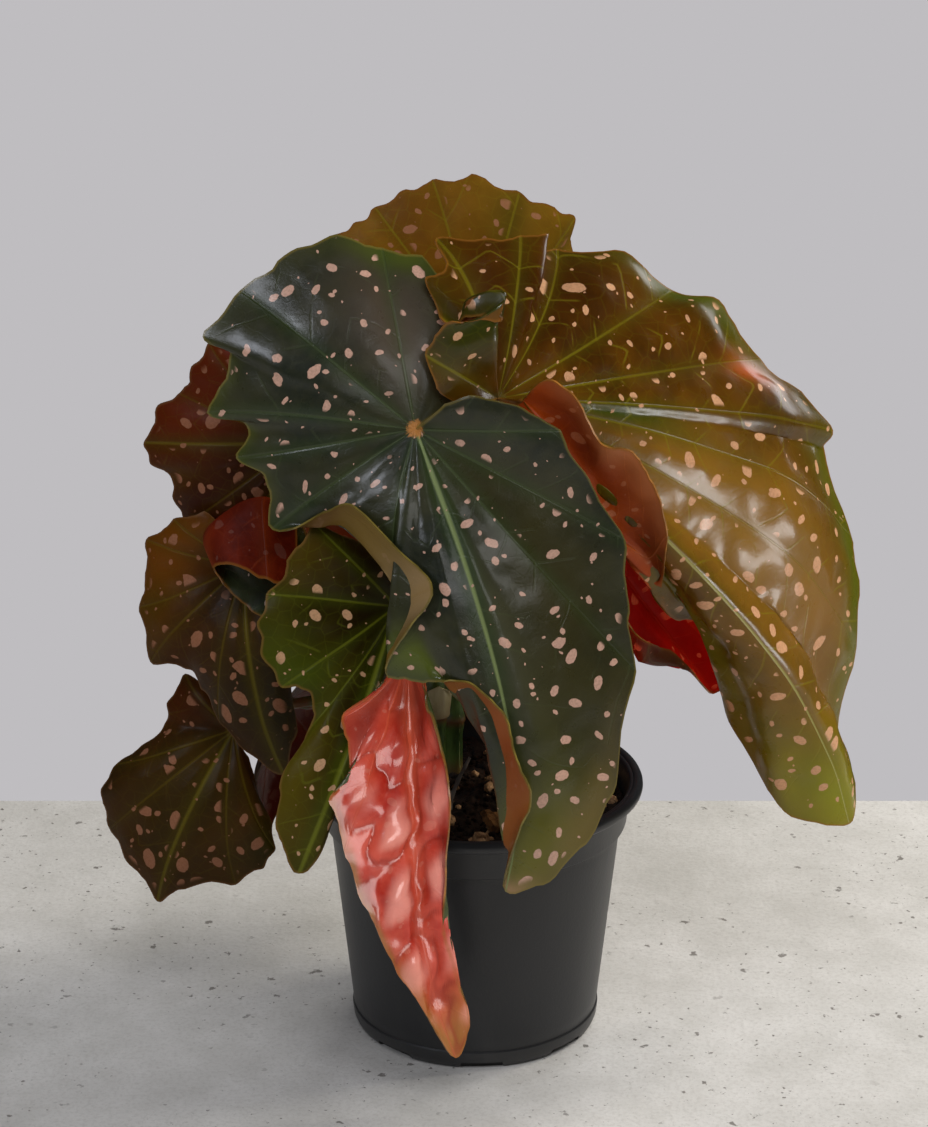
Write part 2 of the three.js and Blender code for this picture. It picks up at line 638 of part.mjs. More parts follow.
const holes = CANES.map(({ foot }) => {
  return { x: foot[0], y: foot[1], radius: CANE_RADIUS + HOLE_GAP, depth: CANE_DEPTH + 1 };
});
holes.push({ x: TWIG.foot[0], y: TWIG.foot[1], radius: TWIG.radius + 0.9, depth: TWIG.depth + 1 });

pot();
soil(holes);

const made = {};
for (const leaf of LEAVES) {
  if (leaf.wing) {
    leaf.base = leaf.wing.base;
    leaf.ribs = wingRibs(leaf.wing);
  }
  made[leaf.name] = bladeSolid(leaf);
  add(leaf.name, surfaceOf(made[leaf.name].shape), leaf.look);
}

for (const cane of CANES) {
  const root = [cane.foot[0], cane.foot[1], SOIL_LEVEL - CANE_DEPTH];
  const spine = [root, [cane.foot[0], cane.foot[1], SOIL_LEVEL + 2], ...cane.path];
  const curve = new THREE.CatmullRomCurve3(spine.map(vec), false, "centripetal");
  const atHeight = (z) => {
    let best = curve.getPoint(0);
    for (let t = 0; t <= 1; t += 0.005) {
      const p = curve.getPoint(t);
      if (Math.abs(p.z - z) < Math.abs(best.z - z)) best = p;
    }
    return best;
  };
  const swelling = (share) => {
    const z = curve.getPointAt(share).z;
    const bumps = cane.nodes.map((node) => Math.exp(-(((z - node) / NODE_SPAN) ** 2)));
    return CANE_RADIUS * (1 - 0.18 * share) + NODE_SWELL * Math.max(...bumps);
  };
  let body = solid(stem(spine, swelling, 8, 22));
  for (const [leafName, z] of Object.entries(cane.stalks)) {
    const { base, face, along, under } = made[leafName];
    const from = atHeight(z);
    const approach = face.clone().multiplyScalar(under).addScaledVector(along, 1 - under).normalize();
    const end = base.clone().addScaledVector(approach, -(BLADE / 2 + BLADE_GAP));
    const before = end.clone().addScaledVector(approach, -9);
    const middle = from.clone().lerp(before, 0.5).add(new THREE.Vector3(0, 0, 5));
    const flare = (share) => STALK_RADIUS * (1 + 0.35 * (1 - share) ** 6 - 0.35 * share ** 8);
    body = body.add(solid(stem([from, middle, before, end].map((p) => p.toArray()), flare, 6, 7)));
  }
  add(cane.name, surfaceOf(body), "cane");
}

const twigRoot = [TWIG.foot[0], TWIG.foot[1], SOIL_LEVEL - TWIG.depth];
const twigCollar = [TWIG.foot[0], TWIG.foot[1], SOIL_LEVEL + 3];
add("twig", stem([twigRoot, twigCollar, TWIG.tip], () => TWIG.radius, 6, 5), "twig");

export default group;
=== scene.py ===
"""Potted polka dot begonia: finished leaves, canes, soil and pot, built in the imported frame.

Sizes in the tables are millimetres. The pot's axis is Z, the floor is Z = 0, +X is to the
viewer's right and +Y points away from the viewer. A rib is at its thinnest LONG_RIB away from
the stalk end, and BRANCH_SPACING is the usual distance between two side veins.
"""

import logging
import math
from collections.abc import Iterator
from contextlib import contextmanager
from dataclasses import dataclass
from enum import Enum

import bpy
import numpy as np
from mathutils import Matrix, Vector


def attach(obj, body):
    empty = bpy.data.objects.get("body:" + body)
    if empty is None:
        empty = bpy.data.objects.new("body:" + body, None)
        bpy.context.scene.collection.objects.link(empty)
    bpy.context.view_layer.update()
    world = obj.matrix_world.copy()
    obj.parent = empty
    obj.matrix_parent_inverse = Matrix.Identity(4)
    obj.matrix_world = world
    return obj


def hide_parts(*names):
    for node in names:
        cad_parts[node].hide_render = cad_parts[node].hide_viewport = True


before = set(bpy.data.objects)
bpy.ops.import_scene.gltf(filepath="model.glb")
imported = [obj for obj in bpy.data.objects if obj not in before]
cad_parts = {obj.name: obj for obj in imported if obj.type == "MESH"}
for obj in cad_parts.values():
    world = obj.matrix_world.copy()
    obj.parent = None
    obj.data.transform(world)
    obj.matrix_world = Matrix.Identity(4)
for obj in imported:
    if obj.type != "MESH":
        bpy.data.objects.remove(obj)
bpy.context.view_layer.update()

LOG = logging.getLogger("begonia")
MM = 0.001
LONG_RIB = 190.0
BRANCH_SPACING = 15.0
UNWRAP_STEPS = 30
Array = np.ndarray
Pair = tuple[float, float]
Triple = tuple[float, float, float]
Rgb = Triple
Piece = bpy.types.Object
Material = bpy.types.Material
Tree = bpy.types.NodeTree
Node = bpy.types.Node
Socket = bpy.types.NodeSocket


# ---- Small tools -----------------------------------------------------------------------------


def rgb(code: str) -> Rgb:
    """The linear colour of a six-digit sRGB code.

    Args:
        code: the colour as hexadecimal digits, such as "2f3a2c".

    Returns:
        Its linear red, green and blue.
    """
    parts = [int(code[i : i + 2], 16) / 255 for i in (0, 2, 4)]
    return tuple(p / 12.92 if p <= 0.04045 else ((p + 0.055) / 1.055) ** 2.4 for p in parts)


def unit(vector: Array) -> Array:
    """Vectors along the last axis, each brought to length 1."""
    size = np.linalg.norm(vector, axis=-1, keepdims=True)
    return vector / np.maximum(size, 1e-9)


def smooth(low: float, high: float, value: Array) -> Array:
    """A soft step from 0 at low to 1 at high."""
    t = np.clip((value - low) / (high - low), 0, 1)
    return t * t * (3 - 2 * t)


def ripples(x: Array, y: Array, seed: int, span: float, waves: int = 7) -> Array:
    """Uneven waves over a surface, between about -1 and 1.

    Args:
        x: first coordinate in mm.
        y: second coordinate in mm.
        seed: chooses the pattern.
        span: the usual wavelength in mm.
        waves: how many plain waves are added up.

    Returns:
        The height at each point.
    """
    rng = np.random.default_rng(seed)
    total = np.zeros(np.broadcast(x, y).shape)
    for _ in range(waves):
        heading, phase = rng.uniform(0, 2 * math.pi, 2)
        length = span * rng.uniform(0.6, 1.6)
        along = x * math.cos(heading) + y * math.sin(heading)
        total += np.sin(2 * math.pi * along / length + phase)
    return total / math.sqrt(2 * waves)


def domes(x: Array, y: Array, seed: int, span: float) -> Array:
    """Rounded swellings with creases between them, from 0 in a crease to 1 on top.

    Args:
        x: first coordinate in mm.
        y: second coordinate in mm.
        seed: chooses the pattern.
        span: the usual distance between two tops in mm.

    Returns:
        The height at each point.
    """
    rng = np.random.default_rng(seed)
    across = [np.arange(part.min() - span, part.max() + span, span) for part in (x, y)]
    tops = np.stack(np.meshgrid(*across), axis=-1).reshape(-1, 2)
    tops = tops + span * rng.uniform(-0.4, 0.4, tops.shape)
    nearest = np.full(x.shape, span**2)
    for a, b in tops:
        nearest = np.minimum(nearest, (x - a) ** 2 + (y - b) ** 2)
    return 1 - nearest / span**2


def wrapped_grid(name: str, points: Array) -> Piece:
    """A grid primitive whose vertices are moved onto a table of points.

    Args:
        name: the piece's name.
        points: rows x columns x 3, in mm.

    Returns:
        The mesh object, at the origin.
    """
    rows, columns = points.shape[:2]
    bpy.ops.object.select_all(action="DESELECT")
    bpy.ops.mesh.primitive_grid_add(
        x_subdivisions=columns - 1, y_subdivisions=rows - 1, size=1, calc_uvs=False
    )
    obj = bpy.context.object
    obj.name = name
    obj.data.name = name
    obj.data.vertices.foreach_set("co", (points * MM).astype(np.float32).ravel())
    obj.data.update()
    return obj


def only(obj: Piece) -> None:
    """Makes one object the selected and active one.

    Args:
        obj: the object.
    """
    bpy.ops.object.select_all(action="DESELECT")
    obj.select_set(True)
    bpy.context.view_layer.objects.active = obj


@contextmanager
def editing(obj: Piece) -> Iterator[None]:
    """Edit mode with the whole of one piece selected.

    Args:
        obj: the piece.

    Returns:
        The context in which edit mode is on.
    """
    only(obj)
    bpy.ops.object.mode_set(mode="EDIT")
    bpy.ops.mesh.select_all(action="SELECT")
    yield
    bpy.ops.object.mode_set(mode="OBJECT")


def track(points: Array) -> float:
    """The length of all columns of a table of points together."""
    return np.linalg.norm(np.diff(points, axis=0), axis=2).sum()


def opened_out(points: Array) -> Array:
    """Lays a surface flat with as little stretch as it can.

    Args:
        points: rows x columns x 3, in mm.

    Returns:
        rows x columns x 2 places on the flat, in mm.
    """
    obj = wrapped_grid("opened_out", points)
    obj.data.uv_layers.new(name="flat")
    with editing(obj):
        bpy.ops.uv.unwrap(method="MINIMUM_STRETCH", iterations=UNWRAP_STEPS, margin=0.0)
    corner = np.empty(len(obj.data.loops), np.int32)
    obj.data.loops.foreach_get("vertex_index", corner)
    places = np.empty(2 * len(corner), np.float32)
    obj.data.uv_layers.active.uv.foreach_get("vector", places)
    flat = np.zeros((points.shape[0] * points.shape[1], 2))
    flat[corner] = places.reshape(-1, 2)
    bpy.data.objects.remove(obj)
    flat = flat.reshape(*points.shape[:2], 2)
    return flat * track(points) / track(flat)


def filled(table: Array, at: Array, count: int, axis: int) -> Array:
    """A table with rows or columns filled in between the given ones.

    Args:
        table: the known values.
        at: where they belong, in rising order from 0 to count - 1.
        count: how many the new table has.
        axis: 0 for rows and 1 for columns.

    Returns:
        The longer table.
    """
    every = np.arange(count)
    return np.apply_along_axis(lambda line: np.interp(every, at, line), axis, table)


def weld(obj: Piece, closed: bool, gap: float = 2e-6) -> None:
    """Merges doubles, and turns a closed shape's faces outwards.

    Args:
        obj: the piece.
        closed: whether it encloses a volume.
        gap: the largest distance between two doubles, in metres.
    """
    with editing(obj):
        bpy.ops.mesh.remove_doubles(threshold=gap)
        if closed:
            bpy.ops.mesh.normals_make_consistent(inside=False)


def thicken(obj: Piece, thickness: float, offset: int, slots: tuple[int, int] = (0, 0)) -> None:
    """Gives a sheet its thickness.

    Args:
        obj: the sheet.
        thickness: in mm.
        offset: 0 to grow both ways and 1 to grow outwards.
        slots: how many material slots further on the other face's and the rim's are.
    """
    shell = obj.modifiers.new("thickness", "SOLIDIFY")
    shell.thickness, shell.offset = thickness * MM, offset
    shell.material_offset, shell.material_offset_rim = slots
    only(obj)
    bpy.ops.object.modifier_apply(modifier=shell.name)


def round_shading(obj: Piece, degrees: float) -> None:
    """Smooth shading that keeps the edges sharper than the given angle."""
    only(obj)
    bpy.ops.object.shade_smooth_by_angle(angle=math.radians(degrees))


def write_attribute(obj: Piece, name: str, kind: str, values: Array) -> None:
    """Stores one value per vertex.

    Args:
        obj: the piece.
        name: the attribute's name.
        kind: FLOAT, FLOAT_VECTOR or FLOAT_COLOR.
        values: one row per vertex.
    """
    slot = {"FLOAT": "value", "FLOAT_VECTOR": "vector", "FLOAT_COLOR": "color"}[kind]
    made = obj.data.attributes.new(name, kind, "POINT")
    made.data.foreach_set(slot, np.ascontiguousarray(values, np.float32).ravel())


def place(obj: Piece, slot: str, *nodes: str) -> Piece:
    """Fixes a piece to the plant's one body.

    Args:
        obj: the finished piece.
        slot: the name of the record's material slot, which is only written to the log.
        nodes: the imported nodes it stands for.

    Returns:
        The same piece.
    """
    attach(obj, "root")
    if nodes:
        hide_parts(*nodes)
    LOG.info("%s: %d faces, slot %s", obj.name, len(obj.data.polygons), slot)
    return obj


def spline(points: Array, count: int) -> Array:
    """Evenly spaced points on a smooth curve through a few given ones.

    Args:
        points: the points the curve passes, n x 3.
        count: how many points to return.

    Returns:
        count x 3 points from the first to the last.
    """
    ends = np.vstack([2 * points[0] - points[1], points, 2 * points[-1] - points[-2]])
    fine = []
    for a, b, c, d in zip(ends, ends[1:], ends[2:], ends[3:]):
        t = np.linspace(0, 1, 40, endpoint=False)[:, None]
        ab, bc, cd = (max(np.linalg.norm(q - p), 1e-6) ** 0.5 for p, q in ((a, b), (b, c), (c, d)))
        start = bc * ((b - a) / ab - (c - a) / (ab + bc) + (c - b) / bc)
        end = bc * ((c - b) / bc - (d - b) / (bc + cd) + (d - c) / cd)
        cubic = b * (2 * t**3 - 3 * t**2 + 1) + start * (t**3 - 2 * t**2 + t)
        fine.append(cubic + c * (3 * t**2 - 2 * t**3) + end * (t**3 - t**2))
    line = np.vstack([*fine, points[-1:]])
    gone = np.concatenate([[0], np.cumsum(np.linalg.norm(np.diff(line, axis=0), axis=1))])
    at = np.linspace(0, gone[-1], count)
    return np.stack([np.interp(at, gone, line[:, i]) for i in range(3)], axis=1)


def tube_points(line: Array, radii: Array, sides: int) -> Array:
    """Rings round a line, with both ends drawn to a point.

    Args:
        line: n x 3 centre points in mm.
        radii: the radius at each of them.
        sides: points in a ring.

    Returns:
        (n + 2) x (sides + 1) x 3 points.
    """
    ahead = unit(np.gradient(line, axis=0))
    normal = unit(np.cross(ahead[0], (0.3, 0.9, 0.1)))
    rings = []
    for centre, heading, radius in zip(line, ahead, radii):
        normal = unit(normal - heading * (normal @ heading))
        across = np.cross(heading, normal)
        angle = np.linspace(0, 2 * math.pi, sides + 1)[:, None]
        rings.append(centre + radius * (normal * np.cos(angle) + across * np.sin(angle)))
    first, last = (np.repeat(end, sides + 1, axis=0) for end in (line[:1], line[-1:]))
    return np.stack([first, *rings, last])


def per_ring(values: Array, sides: int) -> Array:
    """One value for each point of a line, repeated for every vertex of its tube."""
    return np.repeat(values[[0, *range(len(values)), -1]], sides + 1)


# ---- Shader nodes ----------------------------------------------------------------------------


class Shader:
    """Short ways to add and join nodes in one node tree."""

    def __init__(self, tree: Tree) -> None:
        """Works on the given tree."""
        self.tree = tree

    def node(self, kind: str, settings: dict | None = None, **inputs: object) -> Node:
        """Adds a node.

        Args:
            kind: the node type without its ShaderNode prefix.
            settings: the node's own properties.
            inputs: values or sockets by input name, with _ for a space.

        Returns:
            The node.
        """
        made = self.tree.nodes.new("ShaderNode" + kind)
        for key, value in (settings or {}).items():
            setattr(made, key, value)
        for key, value in inputs.items():
            self.join(made.inputs[key.replace("_", " ")], value)
        return made

    def join(self, socket: Socket, value: object) -> None:
        """Links a socket to another, or sets its value.

        Args:
            socket: the input.
            value: another node's output, a colour, a vector or a number.
        """
        if isinstance(value, Socket):
            self.tree.links.new(value, socket)
        elif isinstance(value, tuple) and socket.type == "RGBA":
            socket.default_value = (*value, 1.0)[:4]
        else:
            socket.default_value = value

    def math(self, operation: str, *values: object, clamp: bool = False) -> Socket:
        """A Math node's result.

        Args:
            operation: what it does.
            values: its numbers or sockets.
            clamp: whether the result stays between 0 and 1.

        Returns:
            The result.
        """
        made = self.node("Math", {"operation": operation, "use_clamp": clamp})
        for socket, value in zip(made.inputs, values):
            self.join(socket, value)
        return made.outputs[0]

    def times(self, first: object, second: object) -> Socket:
        """The product of two numbers."""
        return self.math("MULTIPLY", first, second)

    def vector(self, operation: str, *values: object) -> Socket:
        """A Vector Math node's result.

        Args:
            operation: what it does.
            values: its vectors or sockets.

        Returns:
            The result, a number for LENGTH and DISTANCE.
        """
        made = self.node("VectorMath", {"operation": operation})
        for socket, value in zip(made.inputs, values):
            self.join(socket, value)
        return made.outputs["Value" if operation in ("LENGTH", "DISTANCE") else "Vector"]

    def step(self, value: object, low: object, high: object) -> Socket:
        """A soft step.

        Args:
            value: what is compared.
            low: where the step is 0.
            high: where it is 1.

        Returns:
            The step.
        """
        made = self.node("MapRange", {"interpolation_type": "SMOOTHSTEP"})
        for key, given in (("Value", value), ("From Min", low), ("From Max", high)):
            self.join(made.inputs[key], given)
        return made.outputs[0]

    def mix(self, share: object, first: object, second: object, blend: str = "MIX") -> Socket:
        """Two colours mixed.

        Args:
            share: how much of the second.
            first: one colour.
            second: the other.
            blend: how they are mixed.

        Returns:
            The mixed colour.
        """
        made = self.node("Mix", {"data_type": "RGBA", "blend_type": blend})
        for index, value in ((0, share), (6, first), (7, second)):
            self.join(made.inputs[index], value)
        return made.outputs[2]

    def split(self, vector: Socket) -> list[Socket]:
        """A vector's three numbers."""
        return list(self.node("SeparateXYZ", Vector=vector).outputs)

    def noise(self, where: object, scale: object, detail: float = 3.0,
              rough: float = 0.55) -> Socket:
        """A noise texture's value."""
        made = self.node("TexNoise", Vector=where, Scale=scale, Detail=detail, Roughness=rough)
        return made.outputs[0]

    def read(self, name: str) -> Node:
        """The node that reads a vertex attribute."""
        return self.node("Attribute", {"attribute_name": name})

    def place(self) -> Socket:
        """The Object coordinates in mm."""
        return self.vector("MULTIPLY", self.node("TexCoord").outputs["Object"], (1 / MM,) * 3)

    def bump(self, skin: Node, strength: float, depth: float, height: Socket) -> Socket:
        """Roughens a shader's surface by a height.

        Args:
            skin: the shader.
            strength: from 0 to 1.
            depth: how deep a height of 1 is, in mm.
            height: the relief.

        Returns:
            The normal.
        """
        made = self.node("Bump", Strength=strength, Distance=depth * MM, Height=height)
        self.join(skin.inputs["Normal"], made.outputs[0])
        return made.outputs[0]

    def use(self, group: Tree, **inputs: object) -> Node:
        """Places a node group.

        Args:
            group: the group.
            inputs: values or sockets by input name, with _ for a space.

        Returns:
            The group's node.
        """
        made = self.tree.nodes.new("ShaderNodeGroup")
        made.node_tree = group
        for key, value in inputs.items():
            self.join(made.inputs[key.replace("_", " ")], value)
        return made


def new_group(name: str, inputs: dict[str, str], outputs: dict[str, str]) -> tuple:
    """An empty node group with named sockets.

    Args:
        name: the group's name.
        inputs: socket kind (Float, Vector or Color) by name.
        outputs: the same for the outputs.

    Returns:
        The tree, a Shader on it, the inputs by name and the output node.
    """
    tree = bpy.data.node_groups.new(name, "ShaderNodeTree")
    for side, sockets in (("INPUT", inputs), ("OUTPUT", outputs)):
        for key, kind in sockets.items():
            tree.interface.new_socket(key, in_out=side, socket_type="NodeSocket" + kind)
    given = tree.nodes.new("NodeGroupInput").outputs
    return tree, Shader(tree), given, tree.nodes.new("NodeGroupOutput")


class Effects:
    """The node groups that several materials share, each built once."""

    def __init__(self) -> None:
        """Builds every group."""
        self.dots = self._dots()
        self.veins = self._veins()
        self.mottle = self._mottle()
        self.grain = self._grain()

    @staticmethod
    def _dots() -> Tree:
        """Scattered round spots of mixed sizes, one at most in each cell.

        Returns:
            The group.
        """
        tree, s, given, out = new_group(
            "scattered spots",
            {"Place": "Vector", "Spacing": "Float", "Smallest": "Float", "Largest": "Float",
             "Share": "Float", "Soft": "Float"},
            {"Mask": "Float"},
        )
        wave = s.node("TexNoise", Vector=given["Place"], Scale=0.9, Detail=1.0)
        shove = s.vector("MULTIPLY", s.vector("SUBTRACT", wave.outputs[1], (0.5,) * 3), (0.55,) * 3)
        where = s.vector("ADD", given["Place"], shove)
        scale = s.math("DIVIDE", 1.0, given["Spacing"])
        cells = s.node(
            "TexVoronoi", {"voronoi_dimensions": "2D"}, Vector=where, Scale=scale, Randomness=0.8
        )
        luck = s.node("SeparateColor", Color=cells.outputs["Color"]).outputs
        spread = s.math("SUBTRACT", given["Largest"], given["Smallest"])
        radius = s.math("MULTIPLY_ADD", s.math("POWER", luck[0], 1.6), spread, given["Smallest"])
        away = s.vector("SUBTRACT", where, cells.outputs["Position"])
        turned = s.node(
            "VectorRotate", {"rotation_type": "Z_AXIS"}, Vector=away,
            Angle=s.times(luck[2], 3.14),
        )
        distance = s.vector("LENGTH", s.vector("MULTIPLY", turned.outputs[0], (0.8, 1.2, 0.0)))
        inner = s.math("SUBTRACT", radius, given["Soft"])
        inside = s.math("SUBTRACT", 1.0, s.step(distance, inner, radius))
        there = s.math("LESS_THAN", luck[1], given["Share"])
        s.join(out.inputs[0], s.times(inside, there))
        return tree

    @staticmethod
    def _veins() -> Tree:
        """Main ribs, side veins and the fine net between them, from the blade's own measures.

        Returns:
            The group.
        """
        tree, s, given, out = new_group(
            "leaf veins",
            {"Lay": "Vector", "Zone": "Vector", "Place": "Vector", "Branch Spacing": "Float",
             "Net Size": "Float"},
            {"Rib": "Float", "Midrib": "Float", "Branch": "Float", "Net": "Float",
             "Height": "Float"},
        )
        away, phase, _ = s.split(given["Lay"])
        reach, _, middle = s.split(given["Zone"])
        gone = s.times(reach, 1 / LONG_RIB)
        shrink = s.math("SUBTRACT", 1.0, gone, clamp=True)
        width = s.math("MULTIPLY_ADD", shrink, 0.5, 0.24)
        rib = s.math("SUBTRACT", 1.0, s.step(away, s.times(width, 0.25), width))
        broad = s.math("MULTIPLY_ADD", shrink, 0.9, 0.35)
        midrib = s.math("SUBTRACT", 1.0, s.step(middle, s.times(broad, 0.25), broad))
        turn = s.math("FRACT", s.math("ADD", phase, 0.5))
        off = s.math("ABSOLUTE", s.math("SUBTRACT", turn, 0.5))
        apart = s.times(off, given["Branch Spacing"])
        thin = s.math("MULTIPLY_ADD", s.step(away, 30.0, 2.0), 0.45, 0.2)
        branch = s.math("SUBTRACT", 1.0, s.step(apart, s.times(thin, 0.3), thin))
        starts = s.step(reach, 12.0, 26.0)
        branch = s.times(branch, starts)
        branch = s.times(branch, s.step(s.noise(given["Place"], 0.09, 2.0), 0.42, 0.56))
        cells = s.node(
            "TexVoronoi", {"voronoi_dimensions": "2D", "feature": "DISTANCE_TO_EDGE"},
            Vector=given["Place"], Scale=s.math("DIVIDE", 1.0, given["Net Size"]), Randomness=0.9,
        )
        gap = s.times(cells.outputs["Distance"], given["Net Size"])
        net = s.math("SUBTRACT", 1.0, s.step(gap, 0.05, 0.3))
        net = s.times(net, s.step(reach, 10.0, 24.0))
        height = s.math("ADD", s.times(rib, 0.6), s.times(branch, 0.2))
        height = s.math("ADD", height, s.times(net, 0.04))
        for socket, value in zip(out.inputs, (rib, midrib, branch, net, height)):
            s.join(socket, value)
        return tree

    @staticmethod
    def _mottle() -> Tree:
        """Two colours in soft uneven patches.

        Returns:
            The group.
        """
        tree, s, given, out = new_group(
            "soft patches",
            {"Place": "Vector", "Size": "Float", "First": "Color", "Second": "Color"},
            {"Color": "Color", "Mask": "Float"},
        )
        cloud = s.noise(given["Place"], s.math("DIVIDE", 1.0, given["Size"]), 4.0)
        mask = s.step(cloud, 0.34, 0.66)
        s.join(out.inputs[0], s.mix(mask, given["First"], given["Second"]))
        s.join(out.inputs[1], mask)
        return tree

    @staticmethod
    def _grain() -> Tree:
        """Fine skin texture as a height.

        Returns:
            The group.
        """
        tree, s, given, out = new_group(
            "fine grain", {"Place": "Vector", "Size": "Float"}, {"Height": "Float"}
        )
        scale = s.math("DIVIDE", 1.0, given["Size"])
        pits = s.node("TexVoronoi", Vector=given["Place"], Scale=scale).outputs["Distance"]
        cloud = s.noise(given["Place"], s.times(scale, 0.4), 2.0)
        s.join(out.inputs[0], s.math("ADD", s.times(pits, 0.5), cloud))
        return tree


# ---- Finishes --------------------------------------------------------------------------------


def new_material(name: str) -> tuple[Material, Shader, Node, Node]:
    """A bare node material.

    Args:
        name: its name.

    Returns:
        The material, a Shader on its tree, its Principled BSDF and its output node.
    """
    made = bpy.data.materials.new(name)
    made.use_nodes = True
    nodes = made.node_tree.nodes
    return made, Shader(made.node_tree), nodes["Principled BSDF"], nodes["Material Output"]


@dataclass(frozen=True)
class LeafFinish:
    """One kind of blade: its upper face, its underside and its thin margin.

    deep and mid are the colours of the upper face's soft patches, under_deep and under_mid
    those of the underside. halo lies beside the ribs, hub at the stalk end, and glow is what
    shines through. gloss and under_gloss are the faces' roughness, and shine is the upper
    face's specular level. spot_large is the largest spots' radius and spot_apart the distance
    between them, in mm. The other numbers are amounts from 0 to 1.
    """

    name: str
    slot: str
    deep: Rgb
    mid: Rgb
    rib: Rgb
    midrib: Rgb
    spot: Rgb
    under_deep: Rgb
    under_mid: Rgb
    under_rib: Rgb
    glow: Rgb
    rib_clear: float = 0.15
    midrib_clear: float = 0.8
    shine: float = 0.36
    under_coat: float = 0.05
    halo: Rgb = rgb("44560c")
    hub: Rgb = rgb("6a5a20")
    glow_share: float = 0.3
    gloss: float = 0.26
    coat: float = 0.15
    under_gloss: float = 0.36
    spot_share: float = 0.8
    spot_large: float = 2.3
    spot_apart: float = 11.0
    spot_clear: float = 1.0
    net: float = 0.1
    branch: float = 0.25
    under_spot: float = 0.25
    margin: Rgb = rgb("9a6424")

    PATCH_SIZE = 26.0
    NET_SIZE = 5.0
    UNDER_SHINE = 0.22
    COAT_ROUGHNESS = 0.14
    # How much of the halo's colour lies beside every rib and beside the midrib.
    HALO, MIDRIB_HALO = 0.26, 0.45

    def build(self, effects: Effects) -> list[Material]:
        """The three materials in the order upper, under and rim."""
        return [self._face(effects, True), self._face(effects, False), self._rim()]

    def _face(self, effects: Effects, upper: bool) -> Material:
        """One face of the blade.

        Args:
            effects: the shared node groups.
            upper: whether this is the upper face.

        Returns:
            The material.
        """
        made, s, skin, out = new_material(f"{self.name}_{'upper' if upper else 'under'}")
        flat = s.read("flat").outputs["Vector"]
        lay = s.read("lay").outputs["Vector"]
        zone = s.read("zone").outputs["Vector"]
        wash = s.read("wash" if upper else "wash_under")
        reach, _, middle = s.split(zone)
        away, _, edge = s.split(lay)
        deep, mid = (self.deep, self.mid) if upper else (self.under_deep, self.under_mid)
        patches = s.use(
            effects.mottle, Place=flat, Size=self.PATCH_SIZE, First=deep, Second=mid
        )
        colour = patches.outputs["Color"]
        cloud = s.noise(flat, 0.35, 4.0)
        colour = s.mix(s.step(cloud, 0.35, 0.75), colour, s.mix(0.35, colour, mid))
        kept = s.math("SUBTRACT", 1.0, wash.outputs["Alpha"])
        colour = s.mix(1.0, s.mix(1.0, colour, kept, "MULTIPLY"), wash.outputs["Color"], "ADD")
        veins = s.use(
            effects.veins, Lay=lay, Zone=zone, Place=flat, Branch_Spacing=BRANCH_SPACING,
            Net_Size=self.NET_SIZE,
        )
        rib = self.rib if upper else self.under_rib
        main = self.midrib if upper else self.under_rib
        halo = self.halo if upper else self.under_rib
        near = s.times(s.step(away, 4.5, 0.0), s.step(reach, LONG_RIB, 40.0))
        colour = s.mix(s.times(near, self.HALO), colour, halo)
        close = s.times(s.step(middle, 6.0, 0.0), s.step(reach, 150.0, 10.0))
        colour = s.mix(s.times(close, self.MIDRIB_HALO), colour, halo)
        colour = s.mix(s.times(veins.outputs["Net"], self.net), colour, rib)
        colour = s.mix(s.times(veins.outputs["Branch"], self.branch), colour, rib)
        fade = s.math("MULTIPLY_ADD", s.step(reach, 90.0, 8.0), 0.35, self.rib_clear)
        colour = s.mix(s.times(veins.outputs["Rib"], fade), colour, rib)
        shown = s.times(veins.outputs["Midrib"], self.midrib_clear)
        colour = s.mix(shown, colour, main)
        worn = s.math("MULTIPLY_ADD", s.noise(flat, 0.5, 2.0), 4.0, reach)
        colour = s.mix(s.step(worn, 5.4, 4.0), colour, self.hub)
        thin = s.times(s.step(edge, 1.2, 0.3), 0.6)
        colour = s.mix(thin, colour, self.margin)
        colour = self._spots(s, effects, colour, flat, away, reach, edge, upper)
        s.join(skin.inputs["Base Color"], colour)
        rough = self.gloss if upper else self.under_gloss
        smear = s.math("MULTIPLY_ADD", s.noise(flat, 0.12, 5.0), 0.3, rough - 0.13)
        s.join(skin.inputs["Roughness"], s.math("ADD", smear, s.times(cloud, 0.06)))
        shine = self.shine if upper else self.UNDER_SHINE
        skin.inputs["Specular IOR Level"].default_value = shine
        skin.inputs["Coat Weight"].default_value = self.coat if upper else self.under_coat
        skin.inputs["Coat Roughness"].default_value = self.COAT_ROUGHNESS
        grain = s.use(effects.grain, Place=flat, Size=0.9)
        sign = -1.0 if upper else 1.0
        height = s.times(veins.outputs["Height"], sign)
        height = s.math("MULTIPLY_ADD", grain.outputs[0], 0.12, height)
        height = s.math("MULTIPLY_ADD", s.noise(flat, 0.16, 3.0), 0.8, height)
        through = s.node("BsdfTranslucent", Normal=s.bump(skin, 0.45, 0.5, height))
        s.join(through.inputs["Color"], s.mix(0.45, colour, self.glow))
        both = s.node("MixShader", Fac=self.glow_share)
        s.join(both.inputs[1], skin.outputs[0])
        s.join(both.inputs[2], through.outputs[0])
        s.join(out.inputs["Surface"], both.outputs[0])
        return made

